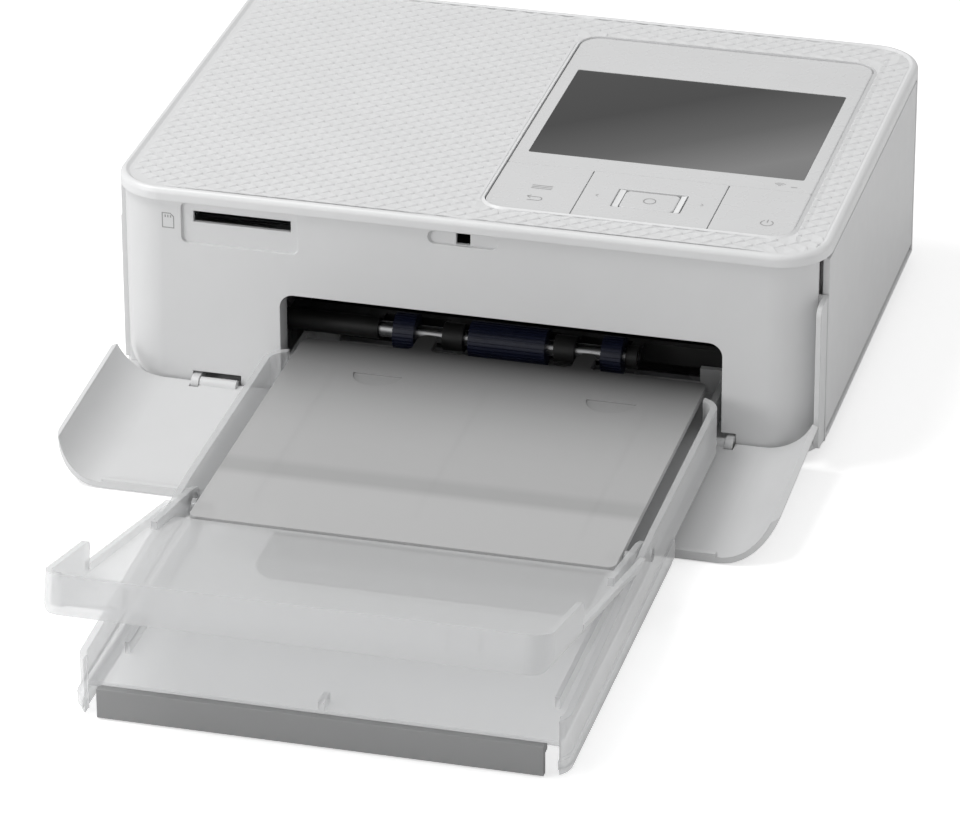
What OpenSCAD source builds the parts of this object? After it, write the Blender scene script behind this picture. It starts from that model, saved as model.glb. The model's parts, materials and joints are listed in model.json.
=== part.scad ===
// Compact dye sublimation photo printer with its front door open and its paper cassette in place.
// Millimetres, +Z up, the mouth faces -Y. The body's own centre lies at y = body_y.

/* [Body] */
// Width of the housing over its sides
body_w = 182.2; // [176:0.2:196]
// Depth of the housing, front to back
body_d = 133; // [130:0.5:150]
// Height from the table to the top cover
body_h = 57.6; // [56.6:0.2:68]
// Corner radius of the housing seen from above
corner_r = 13; // [9:0.5:16]
// Wall of the moulded housing parts
wall = 2; // [1.6:0.1:2.4]
// Height of the rubber feet below the base
foot_h = 2; // [1.2:0.1:3]
// Radius of a rubber foot
foot_r = 6; // [4:0.5:8]
// Thickness of the base pan
pan_t = 2.4; // [2.4:0.1:3]
// Thickness of the top cover slab at its edge
cover_t = 3.2; // [3:0.1:4]
// Soft edge radius of the top cover
cover_soft = 1.5; // [0.8:0.1:1.5]

/* [Control panel] */
// Width of the control panel
panel_w = 78.1; // [76:0.1:84]
// Length of the control panel
panel_l = 107.8; // [100:0.2:110]
// Corner radius of the control panel
panel_r = 5.5; // [3:0.5:8]
// Width of the display window
lcd_w = 70.8; // [60:0.2:72]
// Length of the display window
lcd_l = 52.6; // [44:0.2:56]
// Length of the key row at the front of the panel
key_l = 26.3; // [22:0.1:29]
// Width of the two outer keys
key_side_w = 22.4; // [18:0.2:24]
// Stroke of a key
key_stroke = 0.5; // [0.3:0.1:0.6]

/* [Mouth and card slot] */
// Width of the mouth that takes the cassette
mouth_w = 113.3; // [110:0.1:116]
// Height of the top of the mouth above the table
mouth_top = 31.5; // [30:0.1:34]
// Length of the card slot
card_w = 25.3; // [24.5:0.1:27]
// Height of the card slot
card_h = 3; // [2.3:0.1:3.4]

/* [Paper cassette] */
// Width of the cassette outside the printer
tray_w = 117.4; // [115:0.1:122]
// Reach of the tray in front of the body
tray_reach = 161.5; // [150:0.5:175]
// Wall of the tray
tray_wall = 1.7; // [1.4:0.1:2]
// Height of the paper's cover in the tray above the table
tray_top = 17.6; // [16.6:0.1:18.4]
// Angle of the outer lid above level
lid_tilt = 14; // [9:0.1:18]
// Length of the outer lid from its hinge
lid_len = 107.3; // [96:0.1:112]
// Height of the outer lid's front wall
lid_wall_h = 7.7; // [6:0.1:10]
// Length of the front door from its hinge
door_len = 52.6; // [46:0.1:53]
// Angle of the open front door below level
door_drop = 3.3; // [2.6:0.1:3.4]

/* [Mechanism] */
// Radius of the pickup rollers
pickup_r = 4.8; // [4.6:0.1:6]
// Radius of the pickup shaft
pickup_shaft_r = 2; // [1.5:0.1:2.4]
// Radius of the platen roller
platen_r = 6; // [5:0.1:6.2]
// Radius of the feed roller and of its pinch roller
feed_r = 3.5; // [3:0.1:3.6]
// Radius of the journals of the platen and feed rollers
journal_r = 2.5; // [2:0.1:2.8]
// Gear module
gear_m = 0.8; // [0.8:0.01:0.82]
// Face width of the gears
gear_w = 4; // [3:0.1:4.2]
// Sheet thickness of the main frame
sheet_t = 1.2; // [1:0.1:1.5]

/* [Ink cassette] */
// Outer radius of a spool tube
tube_r = 10.4; // [10:0.1:10.6]
// Wall of a spool tube
tube_wall = 1.1; // [0.9:0.1:1.3]
// Radius of the film wound on a spool
wound_r = 7.6; // [6:0.1:7.7]
// Reach of the ink cassette beyond the frame's right plate
ink_out = 12.6; // [11:0.1:13]

/* [Hidden] */
$fn = 48;

// Clearances
run_gap = 0.05;
slide_gap = 0.4;
seam = 0.25;
ok_gap = 0.4;
side_play = 0.3;

// Small common sizes
soft_edge = 0.4;
rib_t = 1.2;
pan_in = 0.6;
frame_rear = 10.5;

// Levels of the housing
pan_z = foot_h;
shell_z = pan_z + pan_t;
cover_z = body_h - cover_t;
fascia_in = 0.9;
rear_y = body_d / 2;
front_y = -body_d / 2;
half_w = body_w / 2;

// Control panel, measured from the cover's right and front edges
panel_x = half_w - 10.6 - panel_w;
panel_y = front_y + 11.2;
lcd_x = panel_x + (panel_w - lcd_w) / 2;
lcd_y = panel_y + key_l + 7.4;
panel_sink = 0.3;
panel_top = body_h - panel_sink;
key_t = 1.8;
switch_z = panel_top - 5;

// Mouth and the cassette's own centre line
mouth_cx = 9.75;
mouth_x = mouth_cx - mouth_w / 2;
mouth_z = 6;
mouth_r = 3.6;
mouth_lip = 7;
tray_cx = 9.3;
tray_x0 = tray_cx - tray_w / 2;
tray_x1 = tray_cx + tray_w / 2;
tray_step = 0.7;
tray_y0 = front_y - tray_reach;
tray_neck_y = front_y - 2.5;
tray_rear_y = front_y + 21.8;
tray_floor_z = 6.6;
tray_floor_t = 1.4;
neck_cx = mouth_cx - 0.05;
neck_w = mouth_w - 3.5;
neck_x0 = neck_cx - neck_w / 2;
neck_x1 = neck_cx + neck_w / 2;
wall_top = tray_top + 0.8;
wall_fall = 2.7;
wall_fall_y = front_y - 73.5;
rim_top = 7.5;
rim_fall = 1.5;
skirt_z = 0.4;
skirt_back = door_len + 3.4;

// Lids
lid_axis_y = front_y - 76.5;
lid_axis_z = tray_top - 4;
inner_lid_y0 = front_y - 92.7;
inner_lid_y1 = front_y + 5.5;
inner_axis_y = front_y - 84;
lid_t = 1.5;
inner_lid_top = tray_top + 0.4;
arm_t = 1.5;
pin_r = 1.2;
lid_pin_r = 1.6;

// The finished frame has its origin under the middle of the whole box
lid_front_y = lid_axis_y - lid_len * cos(lid_tilt) - lid_t * sin(lid_tilt);
body_y = -(lid_front_y + rear_y) / 2;

// Front door
door_axis_y = front_y - 0.2;
door_axis_z = 4.6;
door_t = 1.6;
door_face = 0.3;
door_gap = 0.5;
door_wrap = 67;
door_tip_r = 11;
door_back = 0.4;
lug_r = 2;
lug_x0 = 67.9;
lug_x1 = 69.9;
barrel_r = 1.7;
barrel_x0 = 58.2;
door_pin_r = 0.9;
door_pin_l = 6;

// Ink door
jamb_y = front_y + 8.3;
left_jamb_back = 2.2;
ink_door_y0 = jamb_y + 1.3;
ink_door_y1 = rear_y - corner_r - 0.6;
ink_door_top = cover_z - 0.6;
ink_axis_x = half_w - 1.6;
ink_axis_z = shell_z + 3.1;
ink_pin_r = 0.8;
ink_door_t = 1.8;
ink_rib_in = 3.2;

// Rollers and gears, as (y, z) places in the body's frame
pickup_yz = [front_y + 16.5, 17.3];
pickup_teeth = 14;
feed_teeth = 20;
platen_teeth = 20;
idler_teeth = 30;
pinion_teeth = 12;
mesh_gap = 0.12;
feed_z = 20.8;
feed_span = gear_gap(pickup_teeth, feed_teeth);
feed_yz = [pickup_yz[0] + sqrt(pow(feed_span, 2) - pow(feed_z - pickup_yz[1], 2)), feed_z];
pinch_yz = [feed_yz[0], feed_z + 2 * feed_r + 0.1];
idler_span = gear_gap(idler_teeth, feed_teeth);
idler_rise = 23.9;
platen_z = feed_z + feed_r - platen_r + 0.3;
platen_run = sqrt(pow(2 * idler_span * cos(idler_rise), 2) - pow(feed_z - platen_z, 2));
platen_yz = [feed_yz[0] + platen_run, platen_z];
idler_yz = apex(feed_yz, platen_yz, idler_span);
pinion_turn = 30;
pinion_yz = platen_yz + gear_gap(pinion_teeth, platen_teeth) * [cos(pinion_turn), sin(pinion_turn)];

// Frame
plate_x0 = mouth_x - 3.1;
plate_x1 = mouth_x + mouth_w + 3;
plate_top = 44;
gear_x0 = plate_x0 - sheet_t - 1 - gear_w;

// Ink cassette
spool_y = 22.1;
spool_z = platen_yz[1] + platen_r + wound_r + 1;
ink_x1 = plate_x1 + ink_out;
ink_x0 = plate_x0 + 14;
ink_end_t = 2;
core_r = 3;
film_w = ink_x1 - ink_x0 - 16;
film_x0 = ink_x0 + 6;

// Head
head_axis = [platen_yz[0] + 46, 38];
head_rod_r = 1.5;
head_plate_z = spool_z + tube_r + 1;

function gear_gap(a, b) = gear_m * (a + b) / 2 + mesh_gap;
function mid(a, b) = (a + b) / 2;
function apex(a, b, side) = mid(a, b) + [a[1] - b[1], b[0] - a[0]] / norm(b - a)
    * sqrt(pow(side, 2) - pow(norm(b - a) / 2, 2));
function bearing(a, b) = atan2(b[1] - a[1], b[0] - a[0]);
// Turn of a gear whose gap meets the tooth of the gear before it
function phase(turn, teeth_a, teeth_b, way) = way + 180 + (180 - (turn - way) * teeth_a) / teeth_b;

// Shared shapes

module place() {
    translate([0, body_y, 0]) children();
}

module box(a, b) {
    translate(a) cube(b - a);
}

module round_rect(x0, x1, y0, y1, r) {
    translate([x0 + r, y0]) square([x1 - x0 - 2 * r, y1 - y0]);
    translate([x0, y0 + r]) square([x1 - x0, y1 - y0 - 2 * r]);
    for (x = [x0 + r, x1 - r], y = [y0 + r, y1 - r]) translate([x, y]) circle(r);
}

module slab(x0, x1, y0, y1, r, z0, z1) {
    translate([0, 0, z0]) linear_extrude(z1 - z0) round_rect(x0, x1, y0, y1, r);
}

// A slab with a soft upper edge of radius f
module soft_slab(x0, x1, y0, y1, r, z0, z1, f) {
    slab(x0, x1, y0, y1, r, z0, z1 - f);
    slab(x0 + f, x1 - f, y0 + f, y1 - f, r - f, z0, z1);
    for (y = [y0 + f, y1 - f]) translate([x0 + r, y, z1 - f])
        rotate([0, 90, 0]) cylinder(r = f, h = x1 - x0 - 2 * r);
    for (x = [x0 + f, x1 - f]) translate([x, y1 - r, z1 - f])
        rotate([90, 0, 0]) cylinder(r = f, h = y1 - y0 - 2 * r);
    for (x = [x0 + r, x1 - r], y = [y0 + r, y1 - r]) translate([x, y, z1 - f])
        rotate_extrude() translate([r - f, 0]) circle(f);
}

// A cylinder along X between x0 and x1 at the place yz
module rod(x0, x1, yz, r) {
    translate([x0, yz[0], yz[1]]) rotate([0, 90, 0]) cylinder(r = r, h = x1 - x0);
}

// An outline drawn in (y, z), pushed along X
module along_x(x0, x1) {
    translate([x0, 0, 0]) rotate([90, 0, 90]) linear_extrude(x1 - x0) children();
}

// An outline drawn in (x, z), pushed along Y
module along_y(y0, y1) {
    translate([0, y1, 0]) rotate([90, 0, 0]) linear_extrude(y1 - y0) children();
}

module gear(teeth, yz, turn, bore) {
    pitch_r = gear_m * teeth / 2;
    tip_r = pitch_r + gear_m;
    root_r = pitch_r - 1.25 * gear_m;
    along_x(gear_x0, gear_x0 + gear_w) translate(yz) rotate(turn) difference() {
        union() {
            circle(root_r);
            for (i = [0:teeth - 1]) rotate(i * 360 / teeth) polygon([
                [root_r - 0.3, -0.95 * gear_m], [root_r, -0.95 * gear_m],
                [pitch_r, -0.68 * gear_m], [tip_r, -0.26 * gear_m],
                [tip_r, 0.26 * gear_m], [pitch_r, 0.68 * gear_m],
                [root_r, 0.95 * gear_m], [root_r - 0.3, 0.95 * gear_m]]);
        }
        circle(bore);
    }
}

// Housing

module base_pan() color("gainsboro") place() {
    difference() {
        translate([0, 0, shell_z]) mirror([0, 0, 1])
            soft_slab(-half_w + pan_in, half_w - pan_in, front_y + pan_in, rear_y - pan_in,
                corner_r - pan_in, 0, pan_t, pan_t / 2);
        for (x = foot_xs(), y = foot_ys()) translate([x, y, pan_z - 1])
            cylinder(r = foot_r, h = 1 + foot_sink);
        for (p = screw_places()) translate([p[0], p[1], pan_z - 1])
            cylinder(r = screw_r + 0.4, h = 1 + screw_h + 0.1);
        knuckle_room();
        for (i = [0:6]) slab(vent_x + i * vent_step, vent_x + i * vent_step + vent_w, -6, 22, 1,
            pan_z - 1, shell_z + 1);
    }
    // Lugs of the front door's hinge
    for (s = [0, 1]) mirror([s, 0, 0]) difference() {
        union() {
            rod(lug_x0, lug_x1, [door_axis_y, door_axis_z], lug_r);
            box([lug_x0, door_axis_y, pan_z + 0.6], [lug_x1, front_y + 5.4, door_axis_z + lug_r]);
        }
        rod(lug_x0 - 1, lug_x1 + 1, [door_axis_y, door_axis_z], door_pin_r + run_gap);
    }
    // Rails that the cassette slides on
    for (x = [neck_x0 + 3, neck_x1 - 6])
        box([x, front_y + 3, shell_z], [x + 3, tray_rear_y + 3, tray_floor_z - 0.3]);
}

foot_sink = 0.4;
screw_r = 2.8;
screw_h = 1.1;

// Vents in the base and in the rear wall
vent_x = -58;
vent_rear_x = 40;
vent_step = 6;
vent_w = 2.4;

function foot_xs() = [-half_w + 15, half_w - 15];
function foot_ys() = [front_y + 21, rear_y - 16];
function screw_places() = [[-half_w + 30, front_y + 14], [half_w - 30, front_y + 14],
    [-half_w + 30, rear_y - 10], [half_w - 30, rear_y - 10]];

// Room in the pan and the fascia for the lugs and barrels of the front door
module knuckle_room() {
    for (s = [0, 1]) mirror([s, 0, 0])
        box([barrel_x0 - 0.7, front_y - 1, pan_z - 1],
            [lug_x1 + 0.2, front_y + 3.6, door_axis_z + lug_r + 0.7]);
}

module rubber_feet() color("dimgray") place() {
    for (x = foot_xs(), y = foot_ys()) translate([x, y, 0]) difference() {
        cylinder(r = foot_r, h = pan_z + foot_sink);
        translate([0, 0, -1]) cylinder(r = foot_r / 2, h = 1.5);
    }
}

module case_screws() color("silver") place() {
    for (p = screw_places()) translate([p[0], p[1], pan_z + 0.1]) difference() {
        cylinder(r = screw_r, h = screw_h);
        translate([0, 0, -screw_h / 2]) cylinder(r = 1.2, h = screw_h, $fn = 6);
    }
}

module shell() color("white") place() difference() {
    union() {
        shell_walls();
        for (s = [-1, 1]) jamb(s);
        flange();
        // Ears of the ink door's pins
        for (y = ink_ear_ys()) box([half_w - 6, y, shell_z], [half_w - 0.1, y + ink_ear_t, ink_axis_z + 3]);
    }
    for (y = ink_ear_ys()) translate([ink_axis_x, y - 0.05, ink_axis_z]) rotate([-90, 0, 0])
        cylinder(r = ink_pin_r + run_gap, h = ink_ear_t + 0.4);
}

ink_ear_t = 1.2;
ink_pin_in = 5;
function ink_ear_ys() = [ink_door_y0 - side_play - ink_ear_t, ink_door_y1 + side_play];

module shell_walls() difference() {
    slab(-half_w, half_w, front_y, rear_y, corner_r, shell_z, cover_z);
    slab(-half_w + wall, half_w - wall, front_y + wall, rear_y - wall, corner_r - wall,
        shell_z - 1, cover_z + 1);
    box([-half_w - 1, front_y - 1, shell_z - 1], [half_w + 1, jamb_y, cover_z + 1]);
    box([-half_w - 1, front_y - 1, shell_z - 1], [0, jamb_y + left_jamb_back, cover_z + 1]);
    box([half_w - wall - 1, jamb_y - 1, shell_z + 1],
        [half_w + 1, ink_door_y1 + side_play, cover_z + 1]);
    slab_through_rear(mouth_x + 2, mouth_x + mouth_w - 2, rear_slot_z0, rear_slot_z1);
    slab_through_rear(jack_x - jack_half - slide_gap, jack_x + jack_half + slide_gap,
        jack_z - jack_half - slide_gap, jack_z + jack_half + slide_gap);
    slab_through_rear(port_x - port_half - 0.2, port_x + port_half + 0.2,
        jack_z - port_rise - 0.2, jack_z + port_rise + 0.2);
    for (i = [0:5]) slab_through_rear(vent_rear_x + i * vent_step,
        vent_rear_x + i * vent_step + vent_w, 38, 48);
    for (i = [0:7]) box([-half_w - 1, 4 + i * 5, 9], [-half_w + wall + 1, 4 + vent_w + i * 5, 21]);
}

rear_slot_z0 = 20;
rear_slot_z1 = 30;
jack_x = -72;
jack_z = 18;
jack_r = 2.75;
jack_half = 5;
port_x = -56;
port_half = 4.6;
port_rise = 1.7;
port_sheet = 0.4;

module slab_through_rear(x0, x1, z0, z1) {
    along_y(rear_y - wall - 1, rear_y + 1) round_rect(x0, x1, z0, z1, 1);
}

// The upright at the front end of a side wall
module jamb(s) {
    sx = s > 0 ? 0 : 1;
    mirror([sx, 0, 0]) translate([0, s > 0 ? 0 : left_jamb_back, 0]) {
        box([half_w - 7.5, jamb_y, shell_z], [half_w - 2.6, jamb_y + 1.1, cover_z]);
        box([half_w - 2.6, jamb_y, shell_z], [half_w, jamb_y + 1.1, flange_top()]);
    }
}

function flange_top() = cover_z - 10.4;

// The strip that stands forward of the right jamb beside the fascia's round end
module flange() translate([half_w - 1.5, 0, 0]) along_x(0, 1.3) difference() {
    round_rect(front_y + 1, jamb_y + 3.1, shell_z + 0.6, flange_top(), 2.4);
    translate([jamb_y + 0.5, 0]) square([10, body_h]);
}

module front_fascia() color("whitesmoke") place() {
    difference() {
        union() {
            difference() {
                slab(-half_w + fascia_in, half_w - fascia_in, front_y + fascia_in, rear_y, corner_r,
                    shell_z, cover_z);
                slab(-half_w + fascia_in + wall, half_w - fascia_in - wall, front_y + fascia_in + wall,
                    rear_y, corner_r - wall, shell_z - 1, cover_z + 1);
                box([0, jamb_y - 0.5, 0], [half_w, rear_y + 1, body_h]);
                box([-half_w, jamb_y + left_jamb_back - 0.5, 0], [0.1, rear_y + 1, body_h]);
            }
            // Lip that lines the mouth
            along_y(front_y + fascia_in + wall - 0.1, front_y + mouth_lip)
                translate([mouth_x - lip_t, shell_z])
                    square([mouth_w + 2 * lip_t, mouth_top + lip_t - shell_z]);
        }
        // Mouth
        along_y(front_y - 1, jamb_y) {
            round_rect(mouth_x, mouth_x + mouth_w, mouth_z, mouth_top, mouth_r);
            translate([mouth_x, shell_z - 1]) square([mouth_w, 2 * mouth_r]);
        }
        // Card slot, in a shallow hollow
        along_y(front_y - 1, front_y + fascia_in + 0.8)
            round_rect(card_x - 3, card_x + card_w + 1.9, card_z - 5.7, card_z + card_h + 2.4, 1.6);
        along_y(front_y - 1, jamb_y) translate([card_x, card_z]) square([card_w, card_h]);
        // Oval hollow with the catch hole of the door
        along_y(front_y - 1, front_y + fascia_in + 0.9)
            round_rect(catch_x - 8.9, catch_x + 8.9, cover_z - 4.2, cover_z - 0.6, 1.79);
        along_y(front_y - 1, jamb_y) translate([catch_x - 1.8, cover_z - 4]) square([3.6, 3]);
        knuckle_room();
        fascia_corners();
    }
}

lip_t = 1.1;
card_x = -69.2;
card_z = 48.6;
catch_x = 0.4;

// What the round lower corners of the fascia leave out
module fascia_corners() {
    r = 10.5;
    for (s = [0, 1]) mirror([s, 0, 0]) along_y(front_y - 1, jamb_y) difference() {
        translate([half_w - fascia_in - r, 0]) square([r + 1, shell_z + r]);
        translate([half_w - fascia_in - r, shell_z + r]) circle(r);
    }
}

module top_cover() color("white") place() {
    difference() {
        soft_slab(-half_w, half_w, front_y, rear_y, corner_r, cover_z, body_h, cover_soft);
        slab(panel_x - seam, panel_x + panel_w + seam, panel_y - seam, panel_y + panel_l + seam,
            panel_r + seam, cover_z - 1, body_h + 1);
        // Hollow under the slab, left of the panel and around it
        slab(-half_w + wall + 1, panel_x - 3, front_y + wall + 3, rear_y - wall - 1, corner_r - wall,
            cover_z - 1, body_h - 1.6);
    }
}

module panel_outline(z0, z1) {
    slab(panel_x, panel_x + panel_w, panel_y, panel_y + panel_l, panel_r, z0, z1);
}

module control_panel() color("white") place() {
    difference() {
        soft_slab(panel_x, panel_x + panel_w, panel_y, panel_y + panel_l, panel_r, cover_z - 0.4,
            panel_top, soft_edge);
        // Place of the keys
        box([panel_x - 1, panel_y - 1, panel_top - key_t - key_stroke - 0.1],
            [panel_x + panel_w + 1, panel_y + key_l + seam, body_h]);
        box([panel_x + 2, panel_y + 2, cover_z - 1],
            [panel_x + panel_w - 2, panel_y + key_l - 2, body_h]);
        // Window seat and the opening under it
        slab(lcd_x - 0.1, lcd_x + lcd_w + 0.1, lcd_y - 0.1, lcd_y + lcd_l + 0.1, 0.6,
            panel_top - 1.2, body_h);
        slab(lcd_x + 1.5, lcd_x + lcd_w - 1.5, lcd_y + 1.5, lcd_y + lcd_l - 1.5, 0.6,
            cover_z - 1, body_h);
    }
}

module lcd_window() color("dimgray") place() {
    slab(lcd_x, lcd_x + lcd_w, lcd_y, lcd_y + lcd_l, 0.5, panel_top - 1.2, panel_top - 0.1);
}

module lcd_module() color("silver") place() {
    difference() {
        slab(lcd_x - 1, lcd_x + lcd_w + 1, lcd_y - 4, lcd_y + lcd_l + 1, 1, cover_z - 3.4, cover_z - 0.4);
        slab(lcd_x + 1.5, lcd_x + lcd_w - 1.5, lcd_y + 1.5, lcd_y + lcd_l - 1.5, 0.5,
            cover_z - 0.8, cover_z);
    }
}

module key_board() color("darkgreen") place() {
    box([panel_x + 3, panel_y + 2.4, switch_z - switch_h - board_t],
        [panel_x + panel_w - 3, lcd_y - 4.6, switch_z - switch_h]);
    for (x = key_mids()) translate([x, key_row_y(), switch_z - switch_h]) {
        translate([-3, -3, 0]) cube([6, 6, 1.2]);
        cylinder(r = 1.6, h = switch_h);
    }
    for (x = rocker_stems()) translate([x, key_row_y(), switch_z - switch_h]) {
        translate([-2.4, -2.4, 0]) cube([4.8, 4.8, 1.2]);
        cylinder(r = 1.4, h = switch_h);
    }
    // Posts up to the underside of the panel
    for (x = [panel_x + 5, panel_x + panel_w - 5])
        translate([x, panel_y + key_l + 0.8, switch_z - switch_h])
            cylinder(r = 1.5, h = cover_z - soft_edge - switch_z + switch_h);
}

switch_h = 1.6;
board_t = 1.6;
stem_r = 1.2;

function rocker_x0() = panel_x + key_side_w + seam;
function rocker_x1() = panel_x + panel_w - key_side_w + 1.6 - seam;
function rocker_stems() = [rocker_x0() + 5, rocker_x1() - 5];
function ok_mid() = mid(rocker_x0(), rocker_x1()) + 0.1;
function key_mids() = [panel_x + key_side_w / 2, ok_mid(), panel_x + panel_w - key_side_w / 2 + 0.8];
function key_row_y() = panel_y + key_l / 2 - 0.55;

module key_part(x0, x1) {
    intersection() {
        soft_slab(panel_x, panel_x + panel_w, panel_y, panel_y + panel_l, panel_r,
            panel_top - key_t, panel_top, soft_edge);
        box([x0, panel_y - 1, 0], [x1, panel_y + key_l, body_h]);
    }
}

module key_stem(x) {
    translate([x, key_row_y(), switch_z + key_stroke + 0.1])
        cylinder(r = stem_r, h = panel_top - key_t - switch_z - key_stroke);
}

module left_key() color("white") place() {
    key_part(panel_x, panel_x + key_side_w);
    key_stem(key_mids()[0]);
}

module power_key() color("white") place() {
    key_part(rocker_x1() + seam, panel_x + panel_w);
    key_stem(key_mids()[2]);
}

ok_w = 13.9;
ok_l = 9.7;

module rocker_key() color("white") place() {
    difference() {
        key_part(rocker_x0(), rocker_x1());
        box([ok_mid() - ok_w / 2 - ok_gap, key_row_y() - ok_l / 2 - ok_gap, 0],
            [ok_mid() + ok_w / 2 + ok_gap, key_row_y() + ok_l / 2 + ok_gap, body_h]);
        // Sloped cheeks of the pit
        for (s = [-1, 1]) translate([ok_mid() + s * (ok_w / 2 + 0.1), key_row_y(), panel_top])
            rotate([0, s * 25, 0]) cube([3.4, ok_l + 2 * ok_gap, 1.6], center = true);
    }
    for (x = rocker_stems()) key_stem(x);
}

module ok_key() color("white") place() {
    soft_slab(ok_mid() - ok_w / 2, ok_mid() + ok_w / 2, key_row_y() - ok_l / 2, key_row_y() + ok_l / 2,
        1.5, panel_top - key_t, panel_top - 0.15, soft_edge);
    key_stem(ok_mid());
}

module main_board() color("seagreen") place() {
    difference() {
        box([-half_w + 4.5, front_y + 22, board_z()], [plate_x0 + 12, rear_y - 6, board_z() + board_t]);
        for (y = board_posts()) translate([plate_x0 + 2, y, 0]) cylinder(r = post_r + 0.1, h = body_h);
    }
    for (i = [0:2]) box([-76 + i * 12, 6, board_z() + board_t], [-67 + i * 12, 15, board_z() + 3]);
    box([-80, 26, board_z() + board_t], [-62, 40, board_z() + 5]);
}

post_r = 1.5;

function board_z() = plate_top + 2;
function board_posts() = [front_y + 38, rear_y - 12];

module card_socket() color("lightgray") place() {
    difference() {
        box([card_x - 1.6, front_y + fascia_in + wall, board_z() + board_t],
            [card_x + card_w + 1.6, front_y + 34, card_z + card_h + 0.9]);
        box([card_x - 0.1, front_y, card_z - 0.1],
            [card_x + card_w + 0.1, front_y + 31, card_z + card_h + 0.1]);
    }
}

module data_port() color("silver") place() {
    difference() {
        along_y(rear_y - 9, rear_y - 0.4)
            round_rect(port_x - port_half, port_x + port_half, jack_z - port_rise, jack_z + port_rise,
                port_rise - 0.01);
        along_y(rear_y - 8, rear_y)
            round_rect(port_x - port_half + port_sheet, port_x + port_half - port_sheet,
                jack_z - port_rise + port_sheet, jack_z + port_rise - port_sheet,
                port_rise - port_sheet - 0.01);
    }
    box([port_x - 3.4, rear_y - 9, jack_z - 0.35], [port_x + 3.4, rear_y - 2, jack_z + 0.35]);
}

module power_inlet() color("black") place() {
    difference() {
        box([jack_x - jack_half, rear_y - 14, jack_z - jack_half],
            [jack_x + jack_half, rear_y - 0.4, jack_z + jack_half]);
        translate([jack_x, rear_y - 10, jack_z]) rotate([-90, 0, 0]) cylinder(r = jack_r, h = 11);
    }
}

module rear_slot_guide() color("dimgray") place() {
    x0 = mouth_x + 2.3;
    x1 = mouth_x + mouth_w - 2.3;
    along_x(x0, x1) {
        polygon([[rear_y - 10, rear_slot_z0 - 1.6], [rear_y - wall, rear_slot_z0 - 1.6],
            [rear_y - wall, rear_slot_z0 + 0.3], [rear_y - 0.6, rear_slot_z0 + 0.3],
            [rear_y - 0.6, rear_slot_z0 + 1.7], [rear_y - 10, rear_slot_z0 + 2.4]]);
        polygon([[rear_y - 10, rear_slot_z1 + 1.6], [rear_y - wall, rear_slot_z1 + 1.6],
            [rear_y - wall, rear_slot_z1 - 0.3], [rear_y - 0.6, rear_slot_z1 - 0.3],
            [rear_y - 0.6, rear_slot_z1 - 1.7], [rear_y - 10, rear_slot_z1 - 2.4]]);
    }
    for (x = [x0, x1 - 1.5])
        box([x, rear_y - 10, rear_slot_z0 + 1], [x + 1.5, rear_y - wall, rear_slot_z1 - 1]);
}

// Doors

// The front door's own frame: origin on its hinge, the panel runs towards -Y
module in_door() {
    translate([0, door_axis_y, door_axis_z]) rotate([door_drop, 0, 0]) children();
}

module door_section() {
    ri = corner_r + door_gap;
    ro = ri + door_t;
    flat = half_w - fascia_in - corner_r;
    translate([-flat, door_face - door_t]) square([2 * flat, door_t]);
    for (s = [0, 1]) mirror([s, 0]) translate([flat, door_face + ri]) intersection() {
        difference() {
            circle(ro);
            circle(ri);
        }
        polygon([[0, 0], [0, -2 * ro], [2 * ro * sin(door_wrap), -2 * ro * cos(door_wrap)]]);
    }
}

module front_door() color("white") place() in_door() {
    flat = half_w - fascia_in - corner_r;
    difference() {
        union() {
            front_door_plate();
            front_door_barrels();
        }
        front_door_bores();
    }
    // Raised lip along the far edge
    intersection() {
        difference() {
            slab(-half_w, half_w, -door_len, 0, door_tip_r, door_face - 0.1, door_face + 0.8);
            slab(-half_w + 1.4, half_w - 1.4, -door_len + 1.4, 0, door_tip_r - 1.4, 0, 5);
        }
        box([-flat, -door_len, 0], [flat, -door_len + 8, 5]);
    }
    // Catch in the middle of the far edge
    box([catch_x - 1.5, -door_len + 3, door_face - 0.1], [catch_x + 1.5, -door_len + 4.4, door_face + 1.6]);
}

module front_door_plate() {
    difference() {
        intersection() {
            along_y(-door_len, door_back) door_section();
            slab(-half_w, half_w, -door_len, 2 * door_tip_r, door_tip_r, -5, 15);
        }
        // Clear of the lugs
        for (s = [0, 1]) mirror([s, 0, 0])
            box([lug_x0 - 0.1, -lug_r - 0.6, -5], [lug_x1 + 0.3, door_back + 1, 5]);
    }
}

module front_door_barrels() for (s = [0, 1]) mirror([s, 0, 0])
    rod(barrel_x0, lug_x0 - 0.1, [0, 0], barrel_r);

module front_door_bores() for (s = [0, 1]) mirror([s, 0, 0])
    rod(lug_x0 - door_pin_l, lug_x0 + 1, [0, 0], door_pin_r);

module door_hinge_pins() color("silver") place() in_door() {
    for (s = [0, 1]) mirror([s, 0, 0]) rod(lug_x0 - door_pin_l, lug_x1, [0, 0], door_pin_r);
}

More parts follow.
